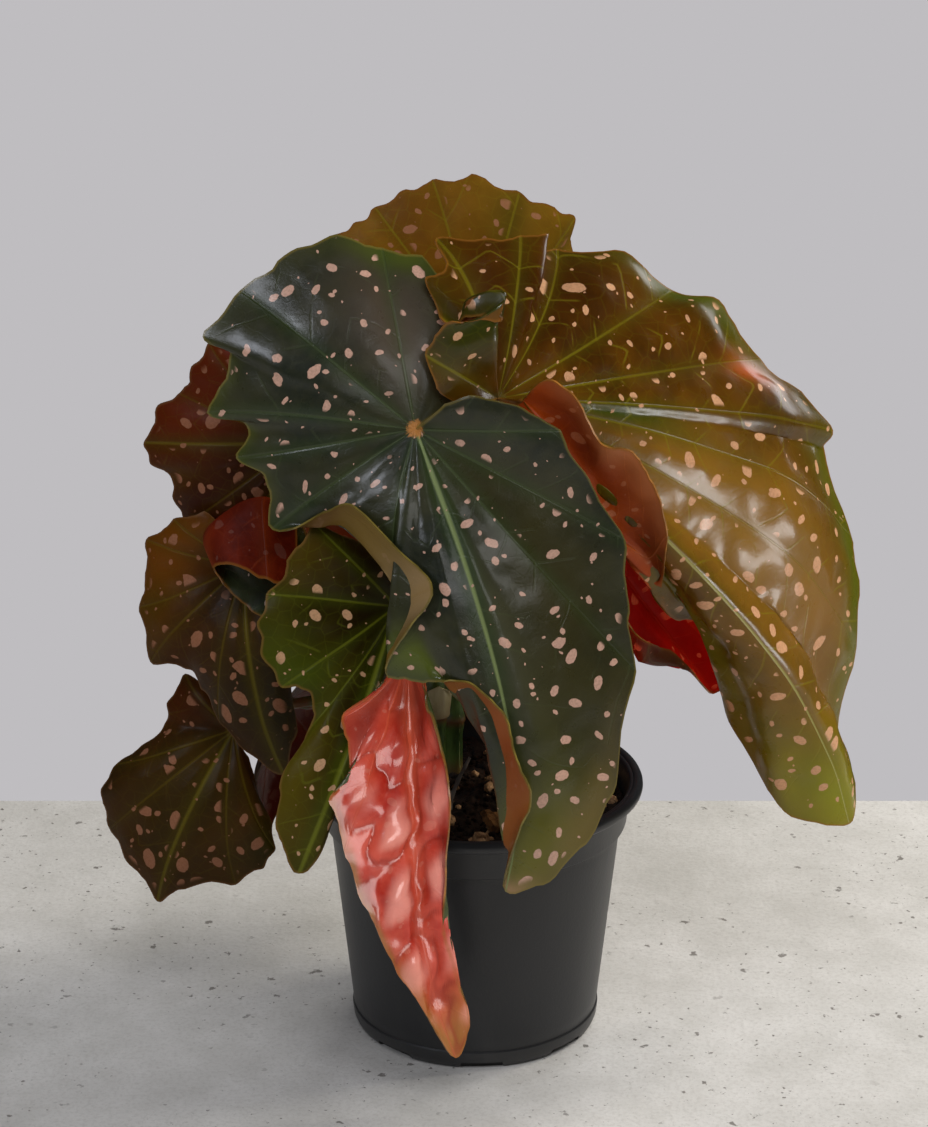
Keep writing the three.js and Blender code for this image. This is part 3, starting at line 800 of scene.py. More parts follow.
    def _spots(self, s: Shader, effects: Effects, colour: Socket, flat: Socket, away: Socket,
               reach: Socket, edge: Socket, upper: bool) -> Socket:
        """Colour with the pale spots laid over it.

        Args:
            s: the material's tree.
            effects: the shared node groups.
            colour: the colour so far.
            flat: the place on the opened-out blade.
            away: distance to the nearest rib.
            reach: distance from the stalk end.
            edge: distance to the margin.
            upper: whether this is the upper face.

        Returns:
            The colour with spots.
        """
        clear = s.times(s.step(away, 1.4, 2.6), s.step(reach, 8.0, 18.0))
        clear = s.times(clear, s.step(edge, 2.0, 4.5))
        layers = (
            (self.spot_apart, 0.9, self.spot_large, self.spot_share, 0.25, clear),
            (9.0, 0.5, 1.1, 0.4, 0.2, s.step(edge, 1.0, 2.4)),
            (5.2, 0.2, 0.5, 0.22, 0.16, s.step(edge, 0.8, 2.0)),
        )
        total = None
        for index, (spacing, small, large, share, soft, limit) in enumerate(layers):
            moved = s.vector("ADD", flat, (index * 37.0, index * 61.0, 0.0))
            dots = s.use(effects.dots, Place=moved, Spacing=spacing, Smallest=small,
                         Largest=large, Share=share, Soft=soft)
            mask = s.times(dots.outputs[0], limit)
            total = mask if total is None else s.math("MAXIMUM", total, mask)
        speckle = s.step(s.noise(flat, 1.3, 2.0), 0.35, 0.7)
        tint = s.mix(s.times(speckle, 0.22), self.spot, self.mid)
        strength = self.spot_clear if upper else self.under_spot
        return s.mix(s.times(total, strength), colour, tint)

    def _rim(self) -> Material:
        """The thin pale margin.

        Returns:
            The material.
        """
        made, s, skin, _ = new_material(f"{self.name}_rim")
        cloud = s.noise(s.read("flat").outputs["Vector"], 0.18, 3.0)
        dark = tuple(0.45 * part for part in self.margin)
        s.join(skin.inputs["Base Color"], s.mix(s.step(cloud, 0.35, 0.65), dark, self.margin))
        skin.inputs["Roughness"].default_value = 0.4
        return made


class Leaf(Enum):
    """The kinds of blade on this plant."""

    DARK = LeafFinish(
        "blade_dark", "leaf_dark", rgb("1d2218"), rgb("34341e"), rgb("4c5a34"), rgb("84925a"),
        rgb("cda28c"), rgb("5a4018"), rgb("7c5c26"), rgb("8a6c30"), rgb("6a5a10"),
        rib_clear=0.07, halo=rgb("2c4416"), hub=rgb("b5793a"), glow_share=0.12, shine=0.42,
        under_spot=0.1, net=0.03, branch=0.12, spot_share=0.9, spot_large=2.1, spot_apart=9.8,
        margin=rgb("7a6a2a"),
    )
    OLIVE = LeafFinish(
        "blade_olive", "leaf_olive", rgb("3e2502"), rgb("6a4406"), rgb("8a8418"),
        rgb("b0ac60"), rgb("e0ac80"), rgb("8c2c0a"), rgb("b84a12"), rgb("c46a2a"),
        rgb("c88210"), rib_clear=0.22, halo=rgb("565a06"), glow_share=0.36, coat=0.3, net=0.09,
        branch=0.35, spot_share=0.88, spot_apart=10.2,
    )
    # A brighter copy of the olive finish: its amber upper colours are a painted glow of light
    # shining through from behind.
    AMBER = LeafFinish(
        "blade_amber", "leaf_olive", rgb("7c540c"), rgb("a47a20"), rgb("9c9420"),
        rgb("a69c40"), rgb("c48a66"), rgb("8c2c0a"), rgb("b84a12"), rgb("c46a2a"),
        rgb("c88210"), rib_clear=0.25, midrib_clear=0.4, halo=rgb("565206"), glow_share=0.36,
        gloss=0.42, coat=0.0, shine=0.2, net=0.12, spot_share=0.95, spot_large=2.6,
        spot_apart=8.8, spot_clear=0.85,
    )
    BRONZE = LeafFinish(
        "blade_bronze", "leaf_bronze", rgb("2e1c08"), rgb("52300c"), rgb("6e5c14"),
        rgb("7e7420"), rgb("b07858"), rgb("5c1408"), rgb("7c240c"), rgb("8a3a14"),
        rgb("b04c08"), halo=rgb("4a4008"), glow_share=0.3, spot_share=0.95, spot_large=3.0,
        spot_clear=0.85, spot_apart=8.6, gloss=0.36, coat=0.0, shine=0.16, rib_clear=0.1,
        midrib_clear=0.35, branch=0.15, margin=rgb("7a5430"),
    )
    GREEN = LeafFinish(
        "blade_green", "leaf_olive", rgb("2a2404"), rgb("4a4208"), rgb("7c8420"),
        rgb("929a30"), rgb("deae82"), rgb("7c2c10"), rgb("a44a1c"), rgb("a86a30"),
        rgb("a08c08"), halo=rgb("4c5c08"), glow_share=0.28, spot_share=0.8, gloss=0.36,
        coat=0.0, shine=0.18, midrib_clear=0.4, margin=rgb("8a6430"),
    )
    RED = LeafFinish(
        "blade_red", "leaf_red", rgb("26301c"), rgb("3c4820"), rgb("6a7a34"), rgb("8a9a44"),
        rgb("dcbca4"), rgb("9c2014"), rgb("c4503e"), rgb("bc5034"), rgb("d01808"),
        midrib_clear=0.2, glow_share=0.2, under_gloss=0.26, under_coat=0.6, under_spot=0.1,
        net=0.05, branch=0.0, margin=rgb("8a5a20"),
    )
    # A copy of the red finish: the red underside, made brighter and deeper as a painted glow of
    # light shining through.
    DEEP_RED = LeafFinish(
        "blade_deep_red", "leaf_red", rgb("26301c"), rgb("3c4820"), rgb("6a7a34"),
        rgb("8a9a44"), rgb("ff8c60"), rgb("c01004"), rgb("e41a08"), rgb("e83a18"),
        rgb("ff1a04"), glow_share=0.65, under_spot=0.9, net=0.08, branch=0.2,
        spot_large=2.8,
    )
    CURLED = LeafFinish(
        "blade_curled", "leaf_red", rgb("1c261a"), rgb("2c361a"), rgb("4c5c22"),
        rgb("7a8a3c"), rgb("e0c0ac"), rgb("4c1004"), rgb("7c240a"), rgb("943e18"),
        rgb("b02c04"), glow_share=0.35, under_spot=0.08,
    )


@dataclass(frozen=True)
class SatinPlastic:
    """Black injection-moulded nursery pot with faint handling marks."""

    colour: Rgb = rgb("1f2022")
    dust: Rgb = rgb("55534f")

    def build(self, effects: Effects) -> Material:
        """Mixes the plastic with its dust and handling marks.

        Args:
            effects: the shared node groups.

        Returns:
            The material.
        """
        made, s, skin, _ = new_material("pot_plastic")
        where = s.place()
        streak = s.noise(s.vector("MULTIPLY", where, (1.0, 1.0, 0.12)), 0.09, 5.0)
        _, _, level = s.split(where)
        low = s.times(s.step(level, 14.0, 0.0), 0.35)
        film = s.times(s.step(streak, 0.5, 0.8), 0.14)
        specks = s.step(s.noise(where, 0.9, 2.0), 0.7, 0.78)
        dusty = s.math("MAXIMUM", s.times(specks, 0.25), s.math("ADD", film, low))
        dusty = s.times(dusty, 0.6)
        s.join(skin.inputs["Base Color"], s.mix(dusty, self.colour, self.dust))
        s.join(skin.inputs["Roughness"], s.math("MULTIPLY_ADD", streak, 0.16, 0.33))
        grain = s.use(effects.grain, Place=where, Size=0.8)
        s.bump(skin, 0.12, 0.3, grain.outputs[0])
        return made


@dataclass(frozen=True)
class Mineral:
    """Soil, pumice or bark: a rough patchy solid."""

    name: str
    first: Rgb
    second: Rgb
    patch: float
    rough: float = 0.9

    def build(self, effects: Effects) -> Material:
        """Mixes the solid's two colours.

        Args:
            effects: the shared node groups.

        Returns:
            The material.
        """
        made, s, skin, _ = new_material(self.name)
        where = s.place()
        patches = s.use(
            effects.mottle, Place=where, Size=self.patch, First=self.first, Second=self.second
        )
        s.join(skin.inputs["Base Color"], patches.outputs["Color"])
        rough = s.math("MULTIPLY_ADD", patches.outputs["Mask"], -0.1, self.rough)
        s.join(skin.inputs["Roughness"], rough)
        grain = s.use(effects.grain, Place=where, Size=0.7)
        s.bump(skin, 0.8, 0.4, grain.outputs[0])
        return made


@dataclass(frozen=True)
class StemSkin:
    """Smooth succulent skin, browner at the joints, with pale flecks."""

    name: str
    young: Rgb
    old: Rgb
    joint: Rgb
    fleck: Rgb
    gloss: float = 0.35

    def build(self, effects: Effects) -> Material:
        """Mixes the skin, its flecks and its joints.

        Args:
            effects: the shared node groups.

        Returns:
            The material.
        """
        made, s, skin, _ = new_material(self.name)
        where = s.place()
        long = s.vector("MULTIPLY", where, (1.0, 1.0, 0.3))
        patches = s.use(effects.mottle, Place=long, Size=7.0, First=self.old, Second=self.young)
        colour = s.mix(s.read("joint").outputs["Fac"], patches.outputs["Color"], self.joint)
        dots = s.use(effects.dots, Place=where, Spacing=3.4, Smallest=0.15, Largest=0.5,
                     Share=0.4, Soft=0.15)
        colour = s.mix(s.times(dots.outputs[0], 0.6), colour, self.fleck)
        s.join(skin.inputs["Base Color"], colour)
        rough = s.math("MULTIPLY_ADD", patches.outputs["Mask"], 0.12, self.gloss)
        s.join(skin.inputs["Roughness"], rough)
        skin.inputs["Subsurface Weight"].default_value = 0.15
        skin.inputs["Subsurface Radius"].default_value = (0.002, 0.0015, 0.0005)
        grain = s.use(effects.grain, Place=long, Size=0.8)
        s.bump(skin, 0.3, 0.3, grain.outputs[0])
        return made


# ---- Leaves ----------------------------------------------------------------------------------


@dataclass(frozen=True)
class Wash:
    """A soft patch of another colour on a blade.

    rib and reach are its middle: the rib's number, and the share of the way to the margin.
    across and along are its half widths in the same measures. colour is a six-digit sRGB code.
    """

    rib: float
    reach: float
    across: float
    along: float
    colour: str
    amount: float = 0.8
    under: bool = False


@dataclass(frozen=True)
class Dent:
    """A push along the blade's face, in mm, on the same measures as a Wash."""

    rib: float
    reach: float
    across: float
    along: float
    height: float


def across_ribs(stops: Array, m: Array) -> Array:
    """A smooth line through one stop on each rib.

    Args:
        stops: n x 3 places.
        m: rib numbers with fractions.

    Returns:
        The place at each of them.
    """
    last = len(stops) - 1
    k = np.minimum(m.astype(int), last - 1)
    t = (m - k)[:, None]
    a, b, c, d = (stops[np.clip(k + i, 0, last)] for i in (-1, 0, 1, 2))
    step = np.linalg.norm(c - b, axis=1)

    def tangent(before: Array, at: Array, after: Array) -> Array:
        """The slope at a stop, limited by its shorter side.

        Args:
            before: the stop before it.
            at: the stop.
            after: the stop after it.

        Returns:
            The slope for each rib number.
        """
        near = np.linalg.norm(at - before, axis=1)
        far = np.linalg.norm(after - at, axis=1)
        near, far = np.where(near == 0, step, near), np.where(far == 0, step, far)
        along = after - before
        reach = np.maximum(np.linalg.norm(along, axis=1), 1e-6)
        return along * (np.minimum(np.minimum(near, far), step) / reach)[:, None]

    out = b * (2 * t**3 - 3 * t**2 + 1) + tangent(a, b, c) * (t**3 - 2 * t**2 + t)
    return out + c * (3 * t**2 - 2 * t**3) + tangent(b, c, d) * (t**3 - t**2)


def even_fan(angles: Array, gaps: Array) -> Array:
    """Rib headings in rising order that stay as near as they can to the given ones.

    Args:
        angles: each rib's own heading.
        gaps: the least turn from each rib to the next.

    Returns:
        The new headings.
    """
    least = np.concatenate([[0], np.cumsum(gaps)])
    runs: list[tuple[float, int]] = []
    for value in angles - least:
        runs.append((value, 1))
        while len(runs) > 1 and runs[-2][0] > runs[-1][0]:
            (a, m), (b, n) = runs[-2:]
            runs[-2:] = [((a * m + b * n) / (m + n), m + n)]
    even = np.concatenate([np.full(n, value) for value, n in runs]) + least
    for _ in range(2):
        even[1:-1] = (even[:-2] + 2 * even[1:-1] + even[2:]) / 4
    return even


@dataclass
class Blade:
    """One leaf blade, a fan of ribs from the stalk end.

    A rib row of three numbers is its tip on the margin; a row of six is the fold of a rolled
    margin and then the margin. side is the turn that brings the upper face outwards, bow lifts
    the middle of each rib by a share of its length, puff raises the blade between ribs, and
    scallop cuts the margin between them. hold is the share of its turn that the tip's rib loses.
    veins are the ribs that show, and tip is the midrib. columns and rows say how fine the mesh is,
    between two ribs and along them. quilt, groove, ruffle and billow are heights in mm of the
    swellings, the veins' grooves, the waves and the large folds, and blob is the distance between
    two swellings. under is how far the stalk comes from below rather than from behind. The two
    fold colours are painted light and shade on the underside's large folds: a pale painted
    highlight on their crests and a dark painted shade in their creases.
    """

    name: str
    look: Leaf
    side: int
    bow: float
    puff: float
    scallop: float
    base: Triple
    ribs: tuple[tuple[float, ...], ...]
    veins: tuple[int, ...]
    tip: int
    hold: float = 0.0
    columns: int = 9
    rows: int = 34
    quilt: float = 0.8
    blob: float = 11.0
    groove: float = 0.22
    ruffle: float = 0.9
    billow: float = 0.0
    seed: int = 1
    washes: tuple[Wash, ...] = ()
    dents: tuple[Dent, ...] = ()
    under: float = 0.7
    thickness: float = 0.6
    # Painted light on the underside's large folds: a pale painted highlight on the crests and a
    # dark painted shade in the creases.
    painted_highlight: str = ""
    painted_crease_shade: str = ""

    # The share of a rib's length at each of its five stops.
    KNOTS = (0, 0.33, 0.66, 0.87, 1)
    # How many ribs either side of the tip's lose some of their turn too.
    TIP_SPAN = 8
    # How far the even fan may turn a rib, and the limits of the gap that it keeps between two
    # ribs, in radians.
    MOST_TURN = 0.3
    LEAST_GAP, GREATEST_GAP = 0.01, 0.07
    # How many mm a side vein runs outwards for each mm away from its rib.
    BRANCH_LEAN = 0.9
    # The deepest cut between two ribs, and the height and spacing of the margin's teeth, in mm.
    DEEPEST_CUT = 4
    TOOTH, TOOTH_SPACING = 0.4, 5.5

    def __post_init__(self) -> None:
        """Works out the blade's face direction and the stops on each rib."""
        self.root = np.array(self.base, float)
        tips = np.array([row[:3] for row in self.ribs], float)
        chords = tips - self.root
        turn = np.cross(chords[:-1], chords[1:]).sum(axis=0) * self.side
        self.face = unit(turn)
        rise = self.bow * np.linalg.norm(chords, axis=1, keepdims=True) * self.face
        rolled = np.array([len(row) == 6 for row in self.ribs])[:, None]
        self.rolled = rolled[:, 0]
        hem = np.array([row[-3:] for row in self.ribs], float)

        swing = self._swing(chords, hem)[:, None]
        square = np.cross(self.face, chords)
        upright = (chords @ self.face)[:, None] * self.face

        def on(share: float, lift: float) -> Array:
            """A stop on each rib, turned towards the even fan near the stalk end.

            Args:
                share: how far along the rib's chord.
                lift: how much of the rib's rise it has.

            Returns:
                One place for each rib.
            """
            turned = swing * (1 - share**2.5)
            chord = chords * np.cos(turned) + square * np.sin(turned)
            chord = chord + upright * (1 - np.cos(turned))
            return self.root + chord * share + rise * lift

        self.stops = [
            np.repeat(self.root[None], len(tips), axis=0),
            np.where(rolled, on(0.4, 0.9), on(0.34, 0.9)),
            np.where(rolled, on(0.75, 0.8), on(0.66, 0.95)),
            np.where(rolled, tips, on(0.87, 0.5)),
            hem,
        ]
        self.along = unit((hem - self.root).sum(axis=0))

    def _swing(self, chords: Array, hem: Array) -> Array:
        """How far each rib turns between the stalk end and its tip, in radians.

        Args:
            chords: from the stalk end to each fold or tip.
            hem: the margin's points.

        Returns:
            The turn of each rib about the face direction, where it leaves the stalk end.
        """
        right = unit(np.cross(self.face, (0.0, 0.3, 1.0)))
        ahead = np.cross(self.face, right)
        angle = np.unwrap(np.arctan2(chords @ ahead, chords @ right))
        way = 1 if angle[-1] > angle[0] else -1
        length = np.linalg.norm(chords, axis=1)
        apart = np.linalg.norm(np.diff(hem, axis=0), axis=1)
        gaps = apart / (length[1:] + length[:-1])
        gaps = np.clip(gaps, self.LEAST_GAP, self.GREATEST_GAP)
        swing = way * even_fan(way * angle, gaps) - angle
        swing = np.clip(swing, -self.MOST_TURN, self.MOST_TURN)
        near_tip = np.exp(-(((np.arange(len(swing)) - self.tip) / self.TIP_SPAN) ** 2))
        return swing - self.hold * swing[self.tip] * near_tip

    def _point(self, lines: list[Array], u: Array) -> Array:
        """Places on each rib line at the given shares of its length.

        Args:
            lines: the five stops of every column.
            u: rows x columns shares.

        Returns:
            rows x columns x 3 places.
        """
        knots = np.array(self.KNOTS)
        stops = np.stack(lines)
        slopes = []
        for i in range(5):
            low, high = max(0, i - 1), min(4, i + 1)
            slopes.append((stops[high] - stops[low]) / (knots[high] - knots[low]))
        slopes = np.stack(slopes)
        k = np.clip(np.searchsorted(knots, u, side="left") - 1, 0, 3)
        width = knots[k + 1] - knots[k]
        t = ((u - knots[k]) / width)[..., None]
        column = np.broadcast_to(np.arange(u.shape[1]), u.shape)
        a, b = stops[k, column], stops[k + 1, column]
        start, end = slopes[k, column] * width[..., None], slopes[k + 1, column] * width[..., None]
        out = a * (2 * t**3 - 3 * t**2 + 1) + start * (t**3 - 2 * t**2 + t)
        return out + b * (3 * t**2 - 2 * t**3) + end * (t**3 - t**2)

    def _measure(self) -> dict[str, Array]:
        """The blade's surface and what its patterns need to know.

        Returns:
            Tables by name, each rows x columns.
        """
        count = (len(self.ribs) - 1) * self.columns + 1
        m = np.linspace(0, len(self.ribs) - 1, count)
        k = np.minimum(m.astype(int), len(self.ribs) - 2)
        between = np.sin(math.pi * (m - k)) ** 2
        hem = self.stops[4]
        width = np.linalg.norm(hem[k] - hem[k + 1], axis=1)
        lines = [across_ribs(stop, m) for stop in self.stops]
        reach = np.linalg.norm(lines[4] - self.root, axis=1)
        hem_run = np.linalg.norm(lines[4] - lines[3], axis=1) / (1 - self.KNOTS[3])
        notch = np.minimum(self.scallop * width, self.DEEPEST_CUT)
        notch = notch * np.where(self.rolled[k] | self.rolled[k + 1], 0.25, 1)
        run = np.concatenate([[0], np.cumsum(np.linalg.norm(np.diff(lines[4], axis=0), axis=1))])
        turn = math.pi * run / self.TOOTH_SPACING + 1.5 * np.sin(run / 9)
        tooth = self.TOOTH * np.abs(np.sin(turn)) ** 0.7
        tooth += 0.35 * ripples(run, 0 * run, self.seed + 50, 9)
        cut = (between * notch + tooth) / np.maximum(np.maximum(reach, hem_run), 8)
        share = np.linspace(0, 1, self.rows + 1)[:, None] ** 0.9
        u = share * (1 - cut * share**3)
        points = self._point(lines, u)
        steps = np.linalg.norm(np.diff(points, axis=0), axis=2)
        r = np.vstack([np.zeros(count), np.cumsum(steps, axis=0)])
        flat = self._flat(points)
        beside = np.stack([self._beside(flat, v * self.columns) for v in self.veins])
        margin = np.vstack([points[-1], points[4:, 0], points[4:, -1]])
        edge = np.stack([
            np.linalg.norm(row[:, None] - margin[None], axis=2).min(axis=1) for row in points
        ])
        return {
            "points": points, "r": r, "x": flat[..., 0], "y": flat[..., 1],
            "m": np.broadcast_to(m, r.shape), "away": beside.min(axis=0),
            "middle": self._beside(flat, self.tip * self.columns),
            "share": np.broadcast_to(share, r.shape), "edge": edge,
        }

    def _flat(self, points: Array) -> Array:
        """Opens the blade out.

        Args:
            points: the blade's surface.

        Returns:
            Each vertex's place on the flat, in mm.
        """
        rows, columns = points.shape[:2]
        down = np.unique([*range(3, rows, 3), rows - 1])
        along = np.unique(np.linspace(0, columns - 1, 2 * len(self.ribs) - 1).round().astype(int))
        flat = opened_out(points[down][:, along])
        hub = (flat[0] + (flat[0] - flat[1]) * down[0] / (down[1] - down[0])).mean(axis=0)
        flat = np.concatenate([np.broadcast_to(hub, (1, len(along), 2)), flat])
        return filled(filled(flat, along, columns, 1), np.append(0, down), rows, 0)

    @staticmethod
    def _beside(flat: Array, column: int) -> Array:
        """How far the blade's vertices lie from one vein.

        Args:
            flat: their places on the opened-out blade.
            column: the vein's column.

        Returns:
            The distances in mm.
        """
        heading = unit(np.gradient(flat[:, column], axis=0))[:, None]
        off = flat - flat[:, [column]]
        square = np.abs(off[..., 0] * heading[..., 1] - off[..., 1] * heading[..., 0])
        return np.maximum(square, 0.35 * np.linalg.norm(off, axis=2))

    def _relief(self, t: dict[str, Array]) -> Array:
        """The height of veins, quilting and ruffles above the plain surface.

        Args:
            t: the blade's measures, to which the side veins' phase and the folds are added.

        Returns:
            The height in mm.
        """
        x, y = t["x"], t["y"]
        wander = 0.16 * ripples(x, y, self.seed + 7, 30)
        t["phase"] = (t["r"] - self.BRANCH_LEAN * t["away"]) / BRANCH_SPACING + wander
        open_field = smooth(0.5, 8, t["away"]) * smooth(0, 9, t["edge"]) * smooth(6, 26, t["r"])
        swell = domes(x, y, self.seed, self.blob) - 0.5
        height = self.quilt * (swell + 0.4 * ripples(x, y, self.seed, 13)) * open_field
        height += 0.7 * self.puff * (smooth(0, 13, t["away"]) - 0.5) * t["share"] ** 1.5
        fold = ripples(x, y, self.seed + 23, 30, 4) + 0.3 * ripples(x, y, self.seed + 24, 14, 5)
        t["fold"] = np.abs(fold)
        height -= self.billow * (t["fold"] - 0.5) * smooth(0, 7, t["edge"]) * smooth(8, 30, t["r"])
        sharp = np.exp(-((t["away"] / 1.2) ** 2)) + 0.7 * np.exp(-((t["away"] / 4) ** 2))
        height -= self.groove * sharp * smooth(6, 45, t["r"])
        height += self.ruffle * ripples(x, y, self.seed + 21, 26) * t["share"] ** 3
        height += 0.5 * self.ruffle * ripples(x, y, self.seed + 22, 60) * smooth(4, 40, t["r"])
        for dent in self.dents:
            near = ((t["m"] - dent.rib) / dent.across) ** 2
            height += dent.height * np.exp(-near - ((t["share"] - dent.reach) / dent.along) ** 2)
        return height

    def _washed(self, t: dict[str, Array], under: bool) -> Array:
        """The colours laid over one face.

        Args:
            t: the blade's measures.
            under: whether it is the underside.

        Returns:
            The colours, already weighted, with the total weight last.
        """
        total = np.zeros((*t["r"].shape, 4))
        for wash in self.washes:
            if wash.under != under:
                continue
            near = ((t["m"] - wash.rib) / wash.across) ** 2
            weight = wash.amount * np.exp(-near - ((t["share"] - wash.reach) / wash.along) ** 2)
            self._lay_over(total, weight, wash.colour)
        # A painted highlight on the crests of the large folds and a painted shade in their creases.
        if under and self.painted_highlight:
            low = smooth(24, 60, t["r"])
            self._lay_over(total, 0.5 * low * smooth(0.4, 1.1, t["fold"]), self.painted_highlight)
            self._lay_over(total, 0.6 * smooth(0.22, 0.02, t["fold"]), self.painted_crease_shade)
        return total

    @staticmethod
    def _lay_over(total: Array, weight: Array, colour: str) -> None:
        """Lays one more colour over a face.

        Args:
            total: the laid-over colours so far, which it changes.
            weight: how much of the new one.
            colour: the new one's six-digit sRGB code.
        """
        total *= 1 - weight[..., None]
        total += weight[..., None] * np.array([*rgb(colour), 1.0])

    def build(self, materials: list[Material], order: int) -> Piece:
        """Makes the blade.

        Args:
            materials: upper, under and rim.
            order: the leaf's number, which moves its pattern to a place of its own.

        Returns:
            The finished piece.
        """
        t = self._measure()
        height = self._relief(t)
        points = t["points"]
        up = np.cross(np.gradient(points, axis=1), np.gradient(points, axis=0)) * -self.side
        up[0] = self.face
        facing = up.sum(axis=(0, 1)) @ self.face
        up = unit(up) * (1 if facing >= 0 else -1)
        points = points + up * (height * smooth(0, 0.08, t["share"]))[..., None]
        points[0] = self.root
        obj = wrapped_grid(self.name + "_blade", points)
        measures = {
            "flat": (t["x"] + 400 * order, t["y"] + 260 * order, 0 * t["x"]),
            "lay": (t["away"], t["phase"], t["edge"]),
            "zone": (t["r"], t["share"], t["middle"]),
        }
        for name, parts in measures.items():
            write_attribute(obj, name, "FLOAT_VECTOR", np.stack(parts, axis=-1))
        for name, under in (("wash", False), ("wash_under", True)):
            write_attribute(obj, name, "FLOAT_COLOR", self._washed(t, under))
        self._face_up(obj, up)
        weld(obj, closed=False)
        for material in materials:
            obj.data.materials.append(material)
        thicken(obj, self.thickness, 0, slots=(1, 2))
        round_shading(obj, 62)
        return place(obj, self.look.value.slot, self.name)

    def _face_up(self, obj: Piece, up: Array) -> None:
        """Turns all faces to the upper side, whichever way the grid was laid.

        Args:
            obj: the blade.
            up: the upper side's direction at each vertex.
        """
        normals = np.empty(len(obj.data.polygons) * 3)
        obj.data.polygons.foreach_get("normal", normals)
        if (normals * up[1:, 1:].ravel()).sum() < 0:
            with editing(obj):
                bpy.ops.mesh.flip_normals()


# An angel-wing outline as direction in degrees from the tip and reach in mm, from the narrow
# side of the sinus round the tip to the rounded ear on the other side.
WING = (
    (-112, 20), (-88, 44), (-66, 66), (-46, 90), (-27, 122), (-10, 150), (0, 166), (10, 128),
    (26, 92), (48, 74), (72, 74), (98, 80), (124, 84), (150, 80), (176, 66), (204, 38),
)
WING_VEINS = (1, 3, 6, 9, 11, 13)


def wing(base: Triple, turn: Triple, size: float,
         hand: int, droop: float) -> tuple[tuple[float, ...], ...]:
    """The rib rows of a plain angel-wing blade.

    Args:
        base: the stalk end in mm.
        turn: heading of the tip, its dip below level and the roll about the midrib, in degrees.
        size: its scale.
        hand: 1 or -1, the side of the rounded ear.
        droop: how far the tip hangs, in degrees.

    Returns:
        One margin point for each rib.
    """
    heading, dip, roll = (math.radians(part) for part in turn)
    cz, sz, cy, sy = math.cos(heading), math.sin(heading), math.cos(dip), math.sin(dip)
    cx, sx = math.cos(roll), math.sin(roll)
    frame_of = np.array([[cz, -sz, 0], [sz, cz, 0], [0, 0, 1]])
    frame_of = frame_of @ np.array([[cy, 0, sy], [0, 1, 0], [-sy, 0, cy]])
    frame_of = frame_of @ np.array([[1, 0, 0], [0, cx, -sx], [0, sx, cx]])
    rows = []
    for angle, reach in WING:
        a = math.radians(angle)
        sag = math.radians(droop) * (0.55 + 0.45 * math.cos(a))
        flat = size * reach * math.cos(sag)
        local = (flat * math.cos(a), hand * flat * math.sin(a), -size * reach * math.sin(sag))
        rows.append(tuple(frame_of @ np.array(local) + np.array(base)))
    return tuple(rows)


